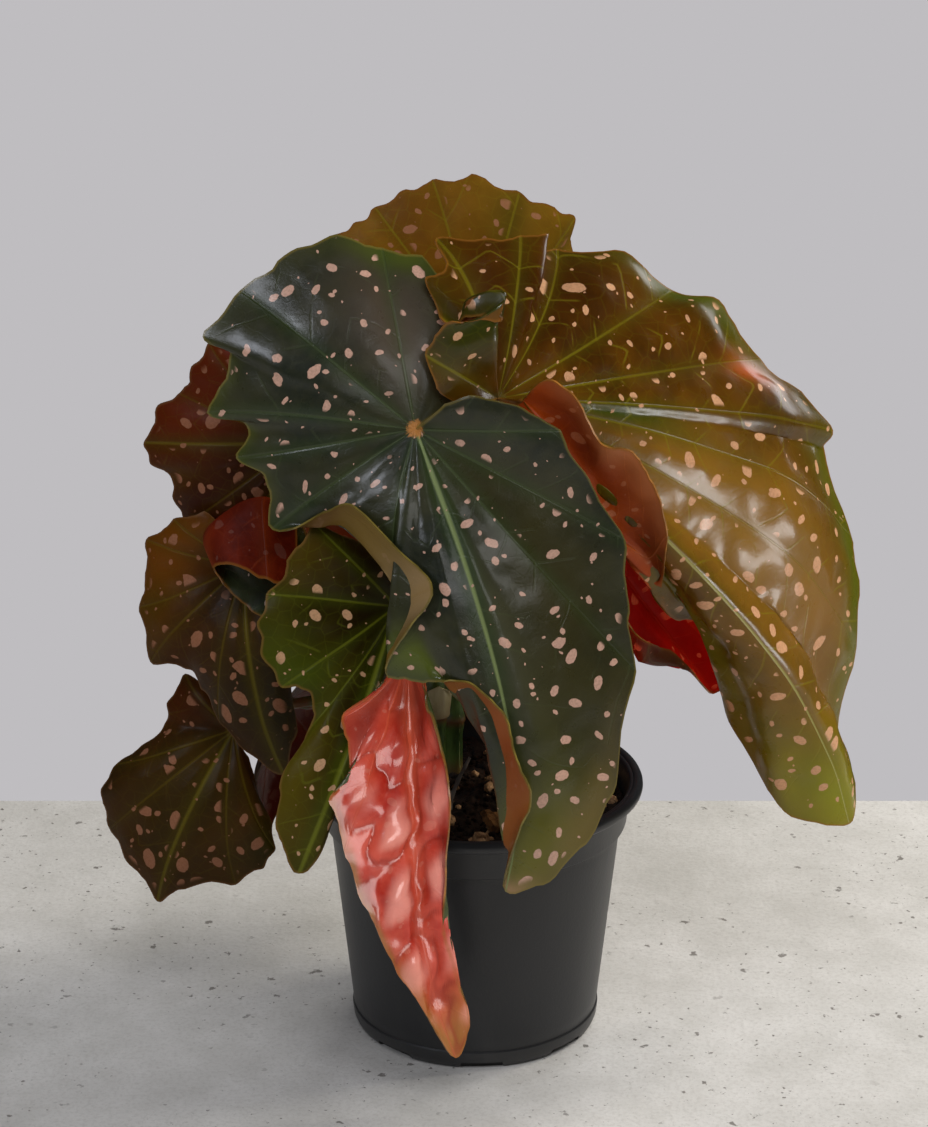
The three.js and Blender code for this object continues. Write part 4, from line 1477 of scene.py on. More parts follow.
# Rib rows in mm, round each blade's margin from one side of the stalk end to the other.
RIBS = {
    "leaf_front": (
        (-10, -55, 249), (0, -58, 253), (14, -61, 250), (27, -62, 242), (37, -61, 225),
        (49, -61, 204), (50, -63, 183), (53, -66, 160), (46, -73, 123), (38, -79, 106),
        (24, -87, 94), (10, -88, 90), (9, -87, 108, 14, -96, 117), (8, -85, 123, 18, -95, 128),
        (6, -83, 136, 12, -93, 142), (-1, -79, 148, 10, -89, 152), (-4, -77, 153, 5, -86, 158),
        (-8, -75, 156, -3, -82, 163), (-17, -73, 159), (-30, -73, 162),
        (-29, -71, 171, -21, -78, 180), (-25, -66, 186, -14, -76, 193),
        (-34, -61, 199, -25, -71, 204), (-45, -56, 207, -40, -65, 218),
        (-53, -52, 206, -50, -58, 213), (-68, -47, 203), (-70, -45, 220), (-80, -41, 226),
        (-76, -40, 237), (-89, -38, 241), (-81, -36, 261), (-90, -34, 266), (-78, -30, 281),
        (-61, -27, 293), (-46, -25, 298), (-31, -25, 294), (-18, -25, 291), (-9, -29, 281),
        (-4, -33, 266), (-3, -40, 249),
    ),
    "leaf_right": (
        (14, -50, 248), (17, -53, 250, 23, -60, 259), (28, -50, 238, 32, -61, 253),
        (39, -44, 220, 40, -57, 236), (44, -41, 210, 51, -55, 233), (50, -37, 198, 59, -51, 219),
        (58, -31, 189, 64, -45, 202), (62, -26, 178, 64, -35, 188), (64, -20, 169),
        (69, -14, 160), (80, -9, 156), (86, -6, 144), (90, -3, 120), (101, -4, 98),
        (113, -6, 81), (134, -10, 79), (135, 0, 91), (129, 5, 106), (136, 9, 136),
        (136, 13, 161), (133, 15, 180), (121, 17, 212), (124, 17, 218), (112, 18, 231),
        (99, 18, 244), (84, 18, 265), (68, 16, 269), (51, 12, 284), (28, 3, 287), (20, -3, 289),
        (24, -6, 294), (15, -11, 295), (3, -17, 295), (-13, -23, 297), (-10, -30, 289),
        (-17, -36, 286), (-10, -42, 275), (-3, -46, 282, -4, -50, 277), (9, -49, 283, 8, -53, 276),
        (-10, -53, 276), (-17, -53, 265), (-12, -52, 252), (-1, -49, 245),
    ),
    "leaf_top": (
        (-13, 26, 241), (-30, 24, 249), (-47, 20, 268), (-50, 18, 287), (-42, 18, 292),
        (-35, 18, 298), (-26, 19, 303), (-15, 20, 307), (0, 22, 308), (15, 24, 302), (25, 26, 297),
        (35, 28, 292), (33, 33, 281), (40, 42, 265), (46, 52, 243), (44, 64, 215), (31, 68, 201),
        (18, 58, 215), (9, 40, 234),
    ),
    "leaf_left_upper": (
        (-60, -8, 237), (-70, -8, 251), (-83, -6, 258), (-91, -4, 256), (-96, -2, 247),
        (-102, 0, 237), (-109, 2, 232), (-115, 4, 218), (-112, 2, 211), (-106, 0, 208),
        (-105, -1, 199), (-101, -3, 190), (-90, -6, 186), (-78, -10, 191), (-66, -11, 202),
    ),
    "leaf_left_middle": (
        (-82, -16, 191), (-93, -14, 199), (-105, -10, 195), (-115, -4, 185), (-115, -5, 172),
        (-118, -7, 161), (-114, -11, 142), (-101, -15, 141), (-96, -18, 135), (-90, -21, 123),
        (-81, -23, 114), (-67, -25, 105), (-62, -27, 123), (-63, -26, 145), (-66, -22, 166),
    ),
    "leaf_left_lower": (
        (-93, 4, 126), (-104, 8, 131), (-110, 8, 119), (-111, 6, 111), (-120, 5, 104),
        (-130, 4, 97), (-134, 2, 87), (-133, 0, 73), (-125, -4, 63), (-115, -8, 48),
        (-106, -10, 54), (-86, -12, 56), (-76, -12, 64), (-71, -11, 70), (-73, -8, 80),
        (-78, -6, 89), (-81, -4, 103),
    ),
    "leaf_centre": (
        (-28, -38, 185), (-40, -42, 197), (-54, -47, 206), (-62, -49, 195), (-70, -51, 182),
        (-73, -53, 172), (-72, -55, 162), (-66, -58, 151), (-59, -59, 151), (-55, -60, 145),
        (-57, -62, 137), (-65, -66, 122), (-67, -69, 105), (-60, -72, 89),
        (-50, -70, 102), (-44, -62, 119), (-37, -54, 132), (-28, -46, 144),
        (-24, -40, 155),
    ),
    "leaf_hanging": (
        (-17, -58, 156), (-17, -64, 147), (-12, -69, 134), (-9, -72, 116), (-10, -74, 95),
        (-11, -74, 69), (-6, -74, 49), (-2, -74, 35), (-7, -74, 21), (-17, -79, 40),
        (-26, -80, 55), (-31, -80, 66), (-39, -80, 84), (-44, -80, 101), (-49, -78, 119),
        (-42, -74, 124), (-45, -68, 145), (-33, -62, 150), (-28, -56, 159),
    ),
    "leaf_curled": (
        (-61, -20, 200, -60, -36, 180), (-72, -24, 206, -70, -39, 182),
        (-83, -24, 203, -80, -38, 187), (-92, -24, 192, -88, -34, 185),
        (-84, -27, 174), (-74, -31, 167), (-60, -32, 159), (-52, -28, 163),
    ),
    "leaf_red": (
        (42, -18, 206), (56, -10, 203), (71, -1, 192), (86, 8, 173), (94, 14, 151), (96, 14, 127),
        (87, 8, 123), (74, -2, 136, 69, -5, 144), (58, -12, 144, 60, -15, 152), (50, -18, 161),
        (42, -20, 175),
    ),
}

# The leaves behind: name, look, side, puff, stalk end, turn, size, droop and seed.
BACK_LEAVES = (
    ("leaf_back_left", Leaf.OLIVE, 1, 1.6, (-40, 46, 206), (138, 42, 10), 0.72, 24, 59),
    ("leaf_back", Leaf.BRONZE, 1, 1.6, (-4, 66, 160), (102, 46, 4), 0.58, 26, 61),
    ("leaf_back_right", Leaf.OLIVE, -1, 1.6, (38, 48, 203), (62, 44, -8), 0.6, 24, 67),
    ("leaf_low", Leaf.BRONZE, -1, 1.4, (-68, 22, 114), (156, 50, 0), 0.38, 30, 71),
)


def make_blades() -> list[Blade]:
    """All fourteen blades.

    Returns:
        The blades, front ones first.
    """
    return [
        Blade(
            "leaf_front", Leaf.DARK, -1, 0.07, 1.0, 0.09, (-20, -50, 239), RIBS["leaf_front"],
            veins=(3, 5, 7, 11, 21, 25, 27, 29, 32, 35), tip=11,
            columns=7, rows=84, quilt=0.5, ruffle=0.7, blob=13, seed=3,
            washes=(
                # Painted sheen: the lighter brown-grey patch at rib 35, partly the leaf's own
                # brown-grey tone, and the soft grey patch at rib 9.8.
                Wash(35, 0.5, 1.8, 0.42, "56493a", 0.85),
                Wash(9.8, 0.45, 1.4, 0.25, "4c4c38", 0.7),
                Wash(7, 0.6, 2.4, 0.35, "383210", 0.75),
                Wash(35.5, 0.98, 1.6, 0.1, "4a5612", 0.7),
                Wash(28, 1.0, 3.0, 0.06, "4a5010", 0.6),
                Wash(10.8, 0.93, 1.6, 0.16, "66640e", 0.9),
                Wash(18, 0.9, 1.6, 0.1, "54600f", 0.75),
                Wash(9, 0.97, 1.2, 0.08, "76601a", 0.6),
                Wash(11, 1.0, 0.6, 0.025, "a07c58", 0.95),
                Wash(22, 0.95, 3.5, 0.25, "7a6220", 0.7, under=True),
                # Painted shade and painted highlight on the rolled hem's underside: the dark patch
                # at rib 24 and the pale patch at rib 21.
                Wash(24, 0.95, 0.9, 0.3, "5c3c22", 0.6, under=True),
                Wash(21, 0.97, 0.9, 0.2, "a48a68", 0.6, under=True),
                Wash(14.5, 0.95, 3.0, 0.2, "9a4c22", 0.8, under=True),
            ),
        ),
        Blade(
            "leaf_right", Leaf.OLIVE, 1, 0.07, 1.2, 0.09, (7, -45, 248), RIBS["leaf_right"],
            veins=(6, 15, 18, 20, 22, 24, 26, 28, 31, 33, 36, 40), tip=15,
            hold=0.6, columns=7, rows=84, quilt=1.5, ruffle=0.9, blob=17, seed=11,
            washes=(
                Wash(30, 0.6, 6.0, 0.6, "3c2602", 0.6),
                Wash(18, 0.55, 2.6, 0.4, "9c7426", 0.85),
                Wash(20.5, 0.93, 1.6, 0.1, "5a4408", 0.7),
                Wash(21, 0.3, 1.0, 0.2, "38500a", 0.9),
                Wash(25.5, 0.97, 1.8, 0.08, "4a600c", 0.75),
                Wash(19, 0.98, 3.0, 0.07, "56680c", 0.75),
                Wash(14.7, 0.95, 1.1, 0.12, "989c0c", 0.8),
                Wash(12, 0.8, 2.4, 0.3, "80801c", 0.7),
                Wash(23.6, 0.88, 0.5, 0.07, "c0560a", 0.85),
                Wash(29, 0.6, 2.4, 0.35, "402004", 0.65),
                Wash(33, 0.7, 1.6, 0.3, "4a2804", 0.6),
                Wash(38, 0.8, 3.0, 0.4, "30400a", 0.8),
                Wash(5, 0.95, 5.0, 0.3, "a4440e", 0.7, under=True),
                Wash(2.5, 0.97, 1.2, 0.1, "6c1c0a", 0.7, under=True),
                Wash(6, 0.93, 0.8, 0.1, "701e08", 0.7, under=True),
                Wash(4, 1.0, 3.0, 0.05, "c08454", 0.6, under=True),
                Wash(38.5, 0.9, 3.5, 0.4, "6a5020", 0.9, under=True),
            ),
            dents=(Dent(18.6, 0.72, 2.2, 0.16, 5.0), Dent(22.0, 0.85, 1.6, 0.16, 3.0)),
        ),
        Blade(
            "leaf_top", Leaf.AMBER, -1, 0.1, 1.4, 0.14, (-2, 22, 253), RIBS["leaf_top"],
            veins=(3, 5, 7, 9, 11, 15), tip=15, columns=10, rows=36, seed=17,
            washes=(
                # The broad amber patch is a painted glow of light shining through.
                Wash(9, 0.6, 6.0, 0.6, "9a7220", 0.6),
                Wash(12, 0.85, 1.6, 0.3, "7b6a12", 0.7),
                Wash(6, 0.8, 1.2, 0.3, "6a3f10", 0.5),
                Wash(9, 0.8, 0.8, 0.3, "5c5a18", 0.6),
            ),
        ),
        Blade(
            "leaf_left_upper", Leaf.BRONZE, 1, 0.13, 1.4, 0.16, (-60, -8, 222),
            RIBS["leaf_left_upper"], veins=(3, 5, 7, 11, 13), tip=7, seed=23,
            washes=(
                # The rust patches at ribs 5 and 2 are a painted glow of light shining through.
                Wash(5, 0.8, 3.2, 0.6, "6c2402", 0.85),
                Wash(9, 0.9, 1.0, 0.2, "5c4208", 0.6),
                Wash(11, 0.7, 2.0, 0.4, "300e04", 0.8),
                Wash(2, 0.9, 1.2, 0.4, "8a2c08", 0.7),
            ),
        ),
        Blade(
            "leaf_left_middle", Leaf.BRONZE, 1, 0.14, 1.4, 0.18, (-80, -13, 179),
            RIBS["leaf_left_middle"], veins=(2, 3, 5, 6, 9, 11, 13), tip=11, seed=31,
            washes=(
                # The orange-brown patch at rib 3 is a painted glow of light shining through.
                Wash(3, 0.8, 2.4, 0.5, "7c4604", 0.85),
                Wash(5, 0.9, 1.0, 0.3, "5c440a", 0.6),
                Wash(9.5, 0.6, 2.4, 0.45, "302814", 0.75),
                Wash(12, 0.8, 1.2, 0.4, "30321e", 0.7),
            ),
        ),
        Blade(
            "leaf_left_lower", Leaf.BRONZE, 1, 0.14, 1.4, 0.16, (-86, -2, 113),
            RIBS["leaf_left_lower"], veins=(1, 5, 7, 9, 11, 13), tip=9, seed=37,
            washes=(
                Wash(1.5, 0.8, 1.4, 0.5, "542206", 0.7),
                Wash(8, 0.5, 5.0, 0.6, "3a2e0a", 0.8),
                Wash(13, 0.9, 2.0, 0.2, "34380e", 0.6),
            ),
        ),
        Blade(
            "leaf_centre", Leaf.GREEN, 1, 0.12, 1.4, 0.14, (-27, -38, 173), RIBS["leaf_centre"],
            veins=(2, 4, 7, 10, 13, 16), tip=13, seed=41, columns=9, rows=40,
            washes=(
                Wash(7, 0.9, 2.2, 0.3, "4a5608", 0.9),
                Wash(2.5, 0.9, 1.4, 0.3, "5e4a0a", 0.7),
                Wash(11.5, 0.9, 1.6, 0.3, "6a5c0a", 0.8),
                # Painted shade: the near-black patches at the stalk end and on both flanks.
                Wash(8, 0.2, 10.0, 0.45, "1a0f04", 0.95),
                Wash(1, 0.7, 1.4, 0.5, "1c1206", 0.8),
                Wash(15.5, 0.7, 2.2, 0.5, "2c1c08", 0.85),
            ),
        ),
        Blade(
            "leaf_hanging", Leaf.RED, 1, -0.04, -1.0, 0.1, (-23, -54, 161), RIBS["leaf_hanging"],
            veins=(3, 8, 13, 16), tip=8, seed=43, columns=9, rows=96, quilt=-1.0, blob=22,
            # The two fold colours are a painted highlight on the crests and a painted shade in the
            # creases.
            groove=0, ruffle=0.5, billow=2.4, under=0, painted_highlight="eaa898", painted_crease_shade="7c1a0c",
            washes=(
                Wash(8, 0.97, 1.4, 0.1, "8a6a24", 0.8, under=True),
                Wash(12, 0.98, 3.0, 0.05, "6a5a14", 0.7, under=True),
                Wash(8, 0.12, 9.0, 0.14, "5c1a0e", 0.85, under=True),
                Wash(15.8, 0.5, 1.4, 0.6, "5c1a0e", 0.75, under=True),
            ),
        ),
        Blade(
            "leaf_curled", Leaf.CURLED, 1, 0.06, 0.4, 0.0, (-50, -22, 175), RIBS["leaf_curled"],
            veins=(1, 3, 5), tip=3, seed=47, columns=10, rows=30, quilt=0.0, ruffle=0.2,
        ),
        Blade(
            "leaf_red", Leaf.DEEP_RED, 1, 0.05, -1.8, 0.12, (39, -20, 195), RIBS["leaf_red"],
            veins=(2, 4, 6, 8), tip=5, seed=53, groove=-0.6, quilt=-1.0, ruffle=1.6,
            under=0.2, rows=40,
        ),
        *(
            Blade(
                name, look, side, 0.08, puff, 0.14, base, wing(base, turn, size, side, droop),
                veins=WING_VEINS, tip=6, seed=seed,
            )
            for name, look, side, puff, base, turn, size, droop, seed in BACK_LEAVES
        ),
    ]


# ---- Stems -----------------------------------------------------------------------------------


@dataclass
class Cane:
    """One cane with its swollen joints and the leaf stalks that leave it."""

    name: str
    foot: Pair
    path: tuple[Triple, ...]
    joints: tuple[float, ...]
    stalks: dict[str, float]
    radius: float = 3.6
    depth: float = 14.0
    soil: float = 86.0
    swell: float = 1.1
    joint_span: float = 3.2
    stalk_radius: float = 1.9

    # Points along the line, and sides.
    CANE_MESH, STALK_MESH = (150, 28), (60, 18)
    # Where a stalk's straight end starts and where it stops, in mm from the blade.
    STRAIGHT, CLEAR = 10.3, 0.5

    def _line(self, count: int) -> Array:
        """The middle of the cane.

        Args:
            count: how many points.

        Returns:
            The points, from the foot up.
        """
        x, y = self.foot
        low = [(x, y, self.soil - self.depth), (x, y, self.soil + 2)]
        return spline(np.array([*low, *self.path], float), count)

    def _near_joint(self, level: Array, span: float) -> Array:
        """How near each level is to a joint, from 0 to 1."""
        joints = np.array(self.joints)
        return np.exp(-(((level[:, None] - joints) / span) ** 2)).max(axis=1)

    def _cane(self) -> Piece:
        """The cane itself, tapered, ringed at each joint.

        Returns:
            The piece, without its material.
        """
        count, sides = self.CANE_MESH
        line = self._line(count)
        share = np.linspace(0, 1, len(line))
        level = line[:, 2]
        radii = self.radius * (1 - 0.18 * share)
        radii += self.swell * self._near_joint(level, self.joint_span)
        radii -= 0.35 * self._near_joint(level + 1.2, 0.7)
        points = tube_points(line, radii, sides)
        ring = np.arange(sides + 1) / sides * 2 * math.pi
        points[1:-1] += 0.12 * unit(points[1:-1] - line[:, None]) * np.sin(3 * ring)[None, :, None]
        obj = wrapped_grid(self.name + "_cane", points)
        joint = self._near_joint(level, 1.6)
        joint = np.maximum(joint, 0.8 * smooth(8, 0, level - self.soil))
        write_attribute(obj, "joint", "FLOAT", per_ring(joint, sides))
        return obj

    def _stalk(self, blade: Blade, level: float) -> Piece:
        """One leaf's stalk, from the cane to the blade's stalk end.

        Args:
            blade: the leaf's blade.
            level: the height in mm at which the stalk leaves the cane.

        Returns:
            The piece, without its material.
        """
        count, sides = self.STALK_MESH
        line = self._line(400)
        start = line[np.abs(line[:, 2] - level).argmin()]
        approach = unit(blade.face * blade.under + blade.along * (1 - blade.under))
        end = blade.root - approach * self.CLEAR
        before = blade.root - approach * self.STRAIGHT
        middle = (start + before) / 2 + np.array([0, 0, 5])
        path = spline(np.array([start, middle, before, end]), count)
        share = np.linspace(0, 1, count)
        radii = self.stalk_radius * (1 + 0.35 * (1 - share) ** 6 - 0.3 * share**8)
        radii += 0.5 * np.exp(-(((share - 0.985) / 0.02) ** 2))
        obj = wrapped_grid(f"{blade.name}_stalk", tube_points(path, radii, sides))
        joint = 0.75 * smooth(0.9, 1.0, share) + 0.5 * smooth(0.12, 0.0, share)
        write_attribute(obj, "joint", "FLOAT", per_ring(joint, sides))
        return obj

    def build(self, blades: dict[str, Blade], skin: Material, stalk_skin: Material) -> list[Piece]:
        """Makes the cane and its stalks.

        Args:
            blades: all blades by name.
            skin: the cane's material.
            stalk_skin: the stalks' material.

        Returns:
            The finished pieces.
        """
        made = [(self._cane(), skin)]
        for name, level in self.stalks.items():
            made.append((self._stalk(blades[name], level), stalk_skin))
        for obj, material in made:
            weld(obj, closed=True)
            obj.data.materials.append(material)
            round_shading(obj, 60)
            place(obj, "cane", self.name)
        return [obj for obj, _ in made]


@dataclass
class Twig:
    """The thin dead twig that stands in the soil."""

    foot: Pair = (-9.0, -12.0)
    tip: Triple = (-2.0, -6.0, 104.0)
    crook: Triple = (-6.4, -9.4, 96.0)
    radius: float = 0.9
    count: int = 40
    sides: int = 12

    def build(self, material: Material) -> Piece:
        """Makes the twig, slightly crooked and broken off at the top.

        Args:
            material: its finish.

        Returns:
            The finished piece.
        """
        x, y = self.foot
        path = np.array([(x, y, 80), (x, y, 89), self.crook, self.tip], float)
        line = spline(path, self.count)
        share = np.linspace(0, 1, self.count)
        radii = self.radius * (1.05 - 0.35 * share) + 0.1 * np.sin(share * 31)
        obj = wrapped_grid("dry_twig", tube_points(line, radii, self.sides))
        write_attribute(obj, "joint", "FLOAT", per_ring(0 * share, self.sides))
        weld(obj, closed=True)
        obj.data.materials.append(material)
        round_shading(obj, 50)
        return place(obj, "twig", "twig")


@dataclass
class Sheath:
    """A papery bract that clasps a cane above a joint."""

    name: str
    centre: Triple
    heading: float
    height: float = 13.0
    radius: float = 4.9
    thickness: float = 0.35

    def build(self, material: Material) -> Piece:
        """Makes the bract as a part cone that ends in a point.

        Args:
            material: its finish.

        Returns:
            The finished piece.
        """
        v, h = np.meshgrid(np.linspace(0, 1, 18), np.linspace(-1, 1, 22), indexing="ij")
        half = 2.1 * (1 - v**1.8) + 0.06
        angle = math.radians(self.heading) + h * half
        radius = self.radius + 1.4 * v**2 + 0.25 * ripples(h * 9, v * 9, 5, 6)
        x = self.centre[0] + radius * np.cos(angle)
        y = self.centre[1] + radius * np.sin(angle)
        obj = wrapped_grid(self.name, np.stack([x, y, self.centre[2] + v * self.height], axis=-1))
        write_attribute(obj, "joint", "FLOAT", (0.2 + 0.5 * (1 - v) ** 4).ravel())
        obj.data.materials.append(material)
        weld(obj, closed=False)
        thicken(obj, self.thickness, 1)
        round_shading(obj, 60)
        return place(obj, "cane")


# ---- Pot and soil ----------------------------------------------------------------------------


@dataclass
class Pot:
    """The black nursery pot, spun from one profile and notched at the foot."""

    height: float = 95.0
    rim: float = 60.0
    collar: float = 54.2
    body_top: float = 52.2
    base: float = 44.5
    foot_band: float = 7.0
    under_lip: float = 90.5
    under_collar: float = 78.5
    wall: float = 1.4
    floor: float = 2.6
    notches: int = 8
    notch: Triple = (17, 9, 5.6)
    segments: int = 176

    def side(self, level: float) -> float:
        """The body's outside radius at a level."""
        share = (level - self.foot_band) / (self.under_collar - self.foot_band)
        return self.base + (self.body_top - self.base) * share

    def _profile(self) -> list[Pair]:
        """The section, from the middle of the underside round to the inside.

        Returns:
            The points as radius and level.
        """
        low, lip, rim, base = self.under_collar, self.under_lip, self.rim, self.base
        top, collar = self.height, self.collar
        outside = [
            (0, 0), (24, 0), (25, 1.6), (36, 1.6), (37, 0), (base - 3, 0), (base - 1.6, 0.3),
            (base - 0.7, 1.1), (base + 0.1, 3), (base + 0.45, 6.2), (base + 0.4, 6.7),
            (base + 0.1, 7.0), (base - 0.1, 7.2), (base + 0.02, 7.5),
        ]
        body = [(self.side(z) - 0.05, z) for z in np.linspace(12, low - 3, 12)]
        band = [
            (self.side(low) - 0.25, low - 0.4), (self.side(low) - 0.1, low),
            (collar - 0.5, low + 0.15), (collar - 0.05, low + 0.5), (collar + 0.15, low + 1.2),
            (collar + 1.3, lip - 0.7), (collar + 1.6, lip - 0.15),
        ]
        edge = [
            (rim - 1.9, lip), (rim - 0.9, lip + 0.25), (rim - 0.25, lip + 0.9), (rim, lip + 1.9),
            (rim - 0.1, top - 1.6), (rim - 0.5, top - 0.7), (rim - 1.2, top - 0.15),
            (rim - 2, top), (rim - 2.7, top - 0.1), (rim - 3.2, top - 0.5), (rim - 3.5, top - 0.8),
            (rim - 3.9, top - 0.75), (rim - 4.4, top - 0.9), (rim - 4.9, top - 1.5),
            (rim - 5.3, top - 2.4), (rim - 5.8, top - 4),
        ]
        inside = [
            (collar - self.wall, low + 1.5), (self.side(low) - self.wall, low - 1.5),
            (self.side(40) - self.wall, 40), (self.side(7) - self.wall, 7),
            (base - self.wall - 2, self.floor), (0, self.floor),
        ]
        return outside + body + band + edge + inside

    def build(self, material: Material) -> Piece:
        """Spins the profile and cuts the notches.

        Args:
            material: the pot's finish.

        Returns:
            The finished pot.
        """
        profile = np.array(self._profile(), float)
        angle = np.linspace(0, 2 * math.pi, self.segments + 1)
        r, z = profile[:, :1], profile[:, 1:]
        points = np.stack([r * np.cos(angle), r * np.sin(angle), z + 0 * angle], axis=-1)
        obj = wrapped_grid("nursery_pot", points)
        weld(obj, closed=True, gap=5e-6)
        for i in range(self.notches):
            self._notch(obj, math.radians(i * 360 / self.notches) + 0.05)
        obj.data.materials.clear()
        obj.data.materials.append(material)
        round_shading(obj, 34)
        return place(obj, "pot", "pot")

    def _notch(self, pot: Piece, turn: float) -> None:
        """Cuts one shallow arch out of the foot.

        Args:
            pot: the pot.
            turn: where on the foot, in radians.
        """
        bpy.ops.object.select_all(action="DESELECT")
        bpy.ops.mesh.primitive_cube_add(size=1)
        cutter = bpy.context.object
        corners = np.array([v.co[:] for v in cutter.data.vertices])
        corners *= np.array(self.notch)
        corners[:, 0] *= np.where(corners[:, 2] > 0, 0.86, 1)
        corners[:, 1] -= self.base + 1.2
        x = corners[:, 0] * math.cos(turn) - corners[:, 1] * math.sin(turn)
        y = corners[:, 0] * math.sin(turn) + corners[:, 1] * math.cos(turn)
        places = np.stack([x, y, corners[:, 2]], axis=1) * MM
        cutter.data.vertices.foreach_set("co", places.astype(np.float32).ravel())
        cutter.data.update()
        cut = pot.modifiers.new("notch", "BOOLEAN")
        cut.operation, cut.solver, cut.object = "DIFFERENCE", "EXACT", cutter
        only(pot)
        bpy.ops.object.modifier_apply(modifier=cut.name)
        bpy.data.objects.remove(cutter)


@dataclass
class Soil:
    """Dark potting mix with crumbs, pumice and a scrap of bark."""

    level: float = 86.0
    radius: float = 53.0
    crumbs: int = 900
    crumb_size: Pair = (0.5, 1.9)
    pumice: int = 150
    pumice_size: Pair = (1.1, 3.3)
    holes: tuple[Pair, ...] = ((-14, -1), (12, 10), (-8, 24))
    hole_radius: float = 4.6
    scrap_at: Pair = (9, -26)
    scrap_tilt: Triple = (0.5, 0.35, 0.7)
    scrap_half: Pair = (7.5, 4.5)
    scrap_thickness: float = 2.2

    # The block's side and underside, as radius and level.
    SKIRT = ((52.0, 80.5), (50.2, 77.0), (46.0, 40.0), (42.4, 8.0), (40.4, 3.0), (0.0, 3.0))

    def height(self, x: Array, y: Array) -> Array:
        """The level of the soil at a place, without its fine relief."""
        slow = 1.1 * np.sin(x / 11 + 1.3) * np.cos(y / 9 - 0.6)
        return self.level + slow + 0.6 * np.sin(x / 4.1 - y / 5.3)

    def _bed(self) -> Piece:
        """The closed block of mix with its lumpy top.

        Returns:
            The piece, not yet welded.
        """
        rings, sectors = 60, 150
        r = self.radius * np.linspace(0, 1, rings + 1)[:, None]
        angle = np.linspace(0, 2 * math.pi, sectors + 1)[None]
        x, y = r * np.cos(angle), r * np.sin(angle)
        z = self.height(x, y) + 0.55 * ripples(x, y, 81, 4.5) + 0.35 * ripples(x, y, 82, 2.4)
        z[:, -1] = z[:, 0]
        top = np.stack([x, y, z], axis=-1)
        skirt = []
        for radius, level in self.SKIRT:
            ring = [radius * np.cos(angle[0]), radius * np.sin(angle[0]), level + 0 * angle[0]]
            skirt.append(np.stack(ring, axis=-1))
        return wrapped_grid("soil_bed", np.concatenate([top, np.stack(skirt)]))

    def _stones(self, name: str, count: int, sizes: Pair, seed: int,
                sunk: float, divisions: int) -> Piece:
        """Loose lumps strewn over the bed, all in one piece.

        Args:
            name: the piece's name.
            count: how many.
            sizes: smallest and largest radius in mm.
            seed: chooses the places.
            sunk: share of its radius that each sits below the surface.
            divisions: how round the starting shape is.

        Returns:
            The piece.
        """
        bpy.ops.object.select_all(action="DESELECT")
        bpy.ops.mesh.primitive_ico_sphere_add(subdivisions=divisions, radius=1)
        model = bpy.context.object
        shape = np.array([v.co[:] for v in model.data.vertices])
        faces = np.array([p.vertices[:] for p in model.data.polygons])
        bpy.data.objects.remove(model)
        rng = np.random.default_rng(seed)
        places, polygons = [], []
        while len(places) < count:
            size = sizes[0] + (sizes[1] - sizes[0]) * rng.random() ** 2.2
            r, turn = (self.radius - 1 - size) * math.sqrt(rng.random()), rng.uniform(0, 7)
            x, y = r * math.cos(turn), r * math.sin(turn)
            spin, _ = np.linalg.qr(rng.normal(size=(3, 3)))
            spin[:, 0] *= np.sign(np.linalg.det(spin))
            lumps = 1 + 0.13 * rng.normal(size=(len(shape), 1))
            squash = np.array([1, rng.uniform(0.7, 1), rng.uniform(0.6, 0.95)])
            if any(math.hypot(x - a, y - b) < self.hole_radius + size for a, b in self.holes):
                continue
            z = self.height(x, y) + size * (0.55 - sunk)
            polygons.append(faces + len(places) * len(shape))
            places.append((shape * lumps * squash) @ spin.T * size + np.array([x, y, z]))
        mesh = bpy.data.meshes.new(name)
        mesh.from_pydata((np.vstack(places) * MM).tolist(), [], np.vstack(polygons).tolist())
        obj = bpy.data.objects.new(name, mesh)
        bpy.context.scene.collection.objects.link(obj)
        round_shading(obj, 75)
        return obj

    def _scrap(self) -> Piece:
        """The bark scrap, a thin cracked chip.

        Returns:
            The piece.
        """
        half_x, half_y = self.scrap_half
        u, v = np.meshgrid(np.linspace(-1, 1, 25), np.linspace(-1, 1, 17), indexing="ij")
        x = u * (half_x + 0.8 * ripples(v * 9, 0 * v, 6, 7))
        y = v * (half_y + 0.6 * ripples(u * 9, 0 * u, 8, 7))
        z = 0.9 * u**2 + 0.35 * ripples(x, y * 3, 9, 5)
        local = np.stack([x, y, z], axis=-1)
        for axis, turn in enumerate(self.scrap_tilt):
            i, j = (axis + 1) % 3, (axis + 2) % 3
            a, b = local[..., i].copy(), local[..., j].copy()
            local[..., i] = a * math.cos(turn) - b * math.sin(turn)
            local[..., j] = a * math.sin(turn) + b * math.cos(turn)
        obj = wrapped_grid("bark_scrap", local + np.array([*self.scrap_at, self.level + 1.4]))
        weld(obj, closed=False)
        thicken(obj, self.scrap_thickness, 0)
        round_shading(obj, 40)
        return obj

    def build(self, mix: Material, stone: Material, bark: Material) -> list[Piece]:
        """Makes the bed and what lies on it.

        Args:
            mix: the dark mix's material.
            stone: the pumice's.
            bark: the scrap's.

        Returns:
            The finished pieces.
        """
        bed = self._bed()
        weld(bed, closed=True)
        round_shading(bed, 80)
        made = [
            (bed, mix),
            (self._stones("soil_crumbs", self.crumbs, self.crumb_size, 91, 0.4, 1), mix),
            (self._stones("pumice_grains", self.pumice, self.pumice_size, 92, 0.3, 2), stone),
            (self._scrap(), bark),
        ]
        for obj, material in made:
            obj.data.materials.append(material)
            place(obj, "soil", "soil")
        return [obj for obj, _ in made]


# ---- Studio ----------------------------------------------------------------------------------


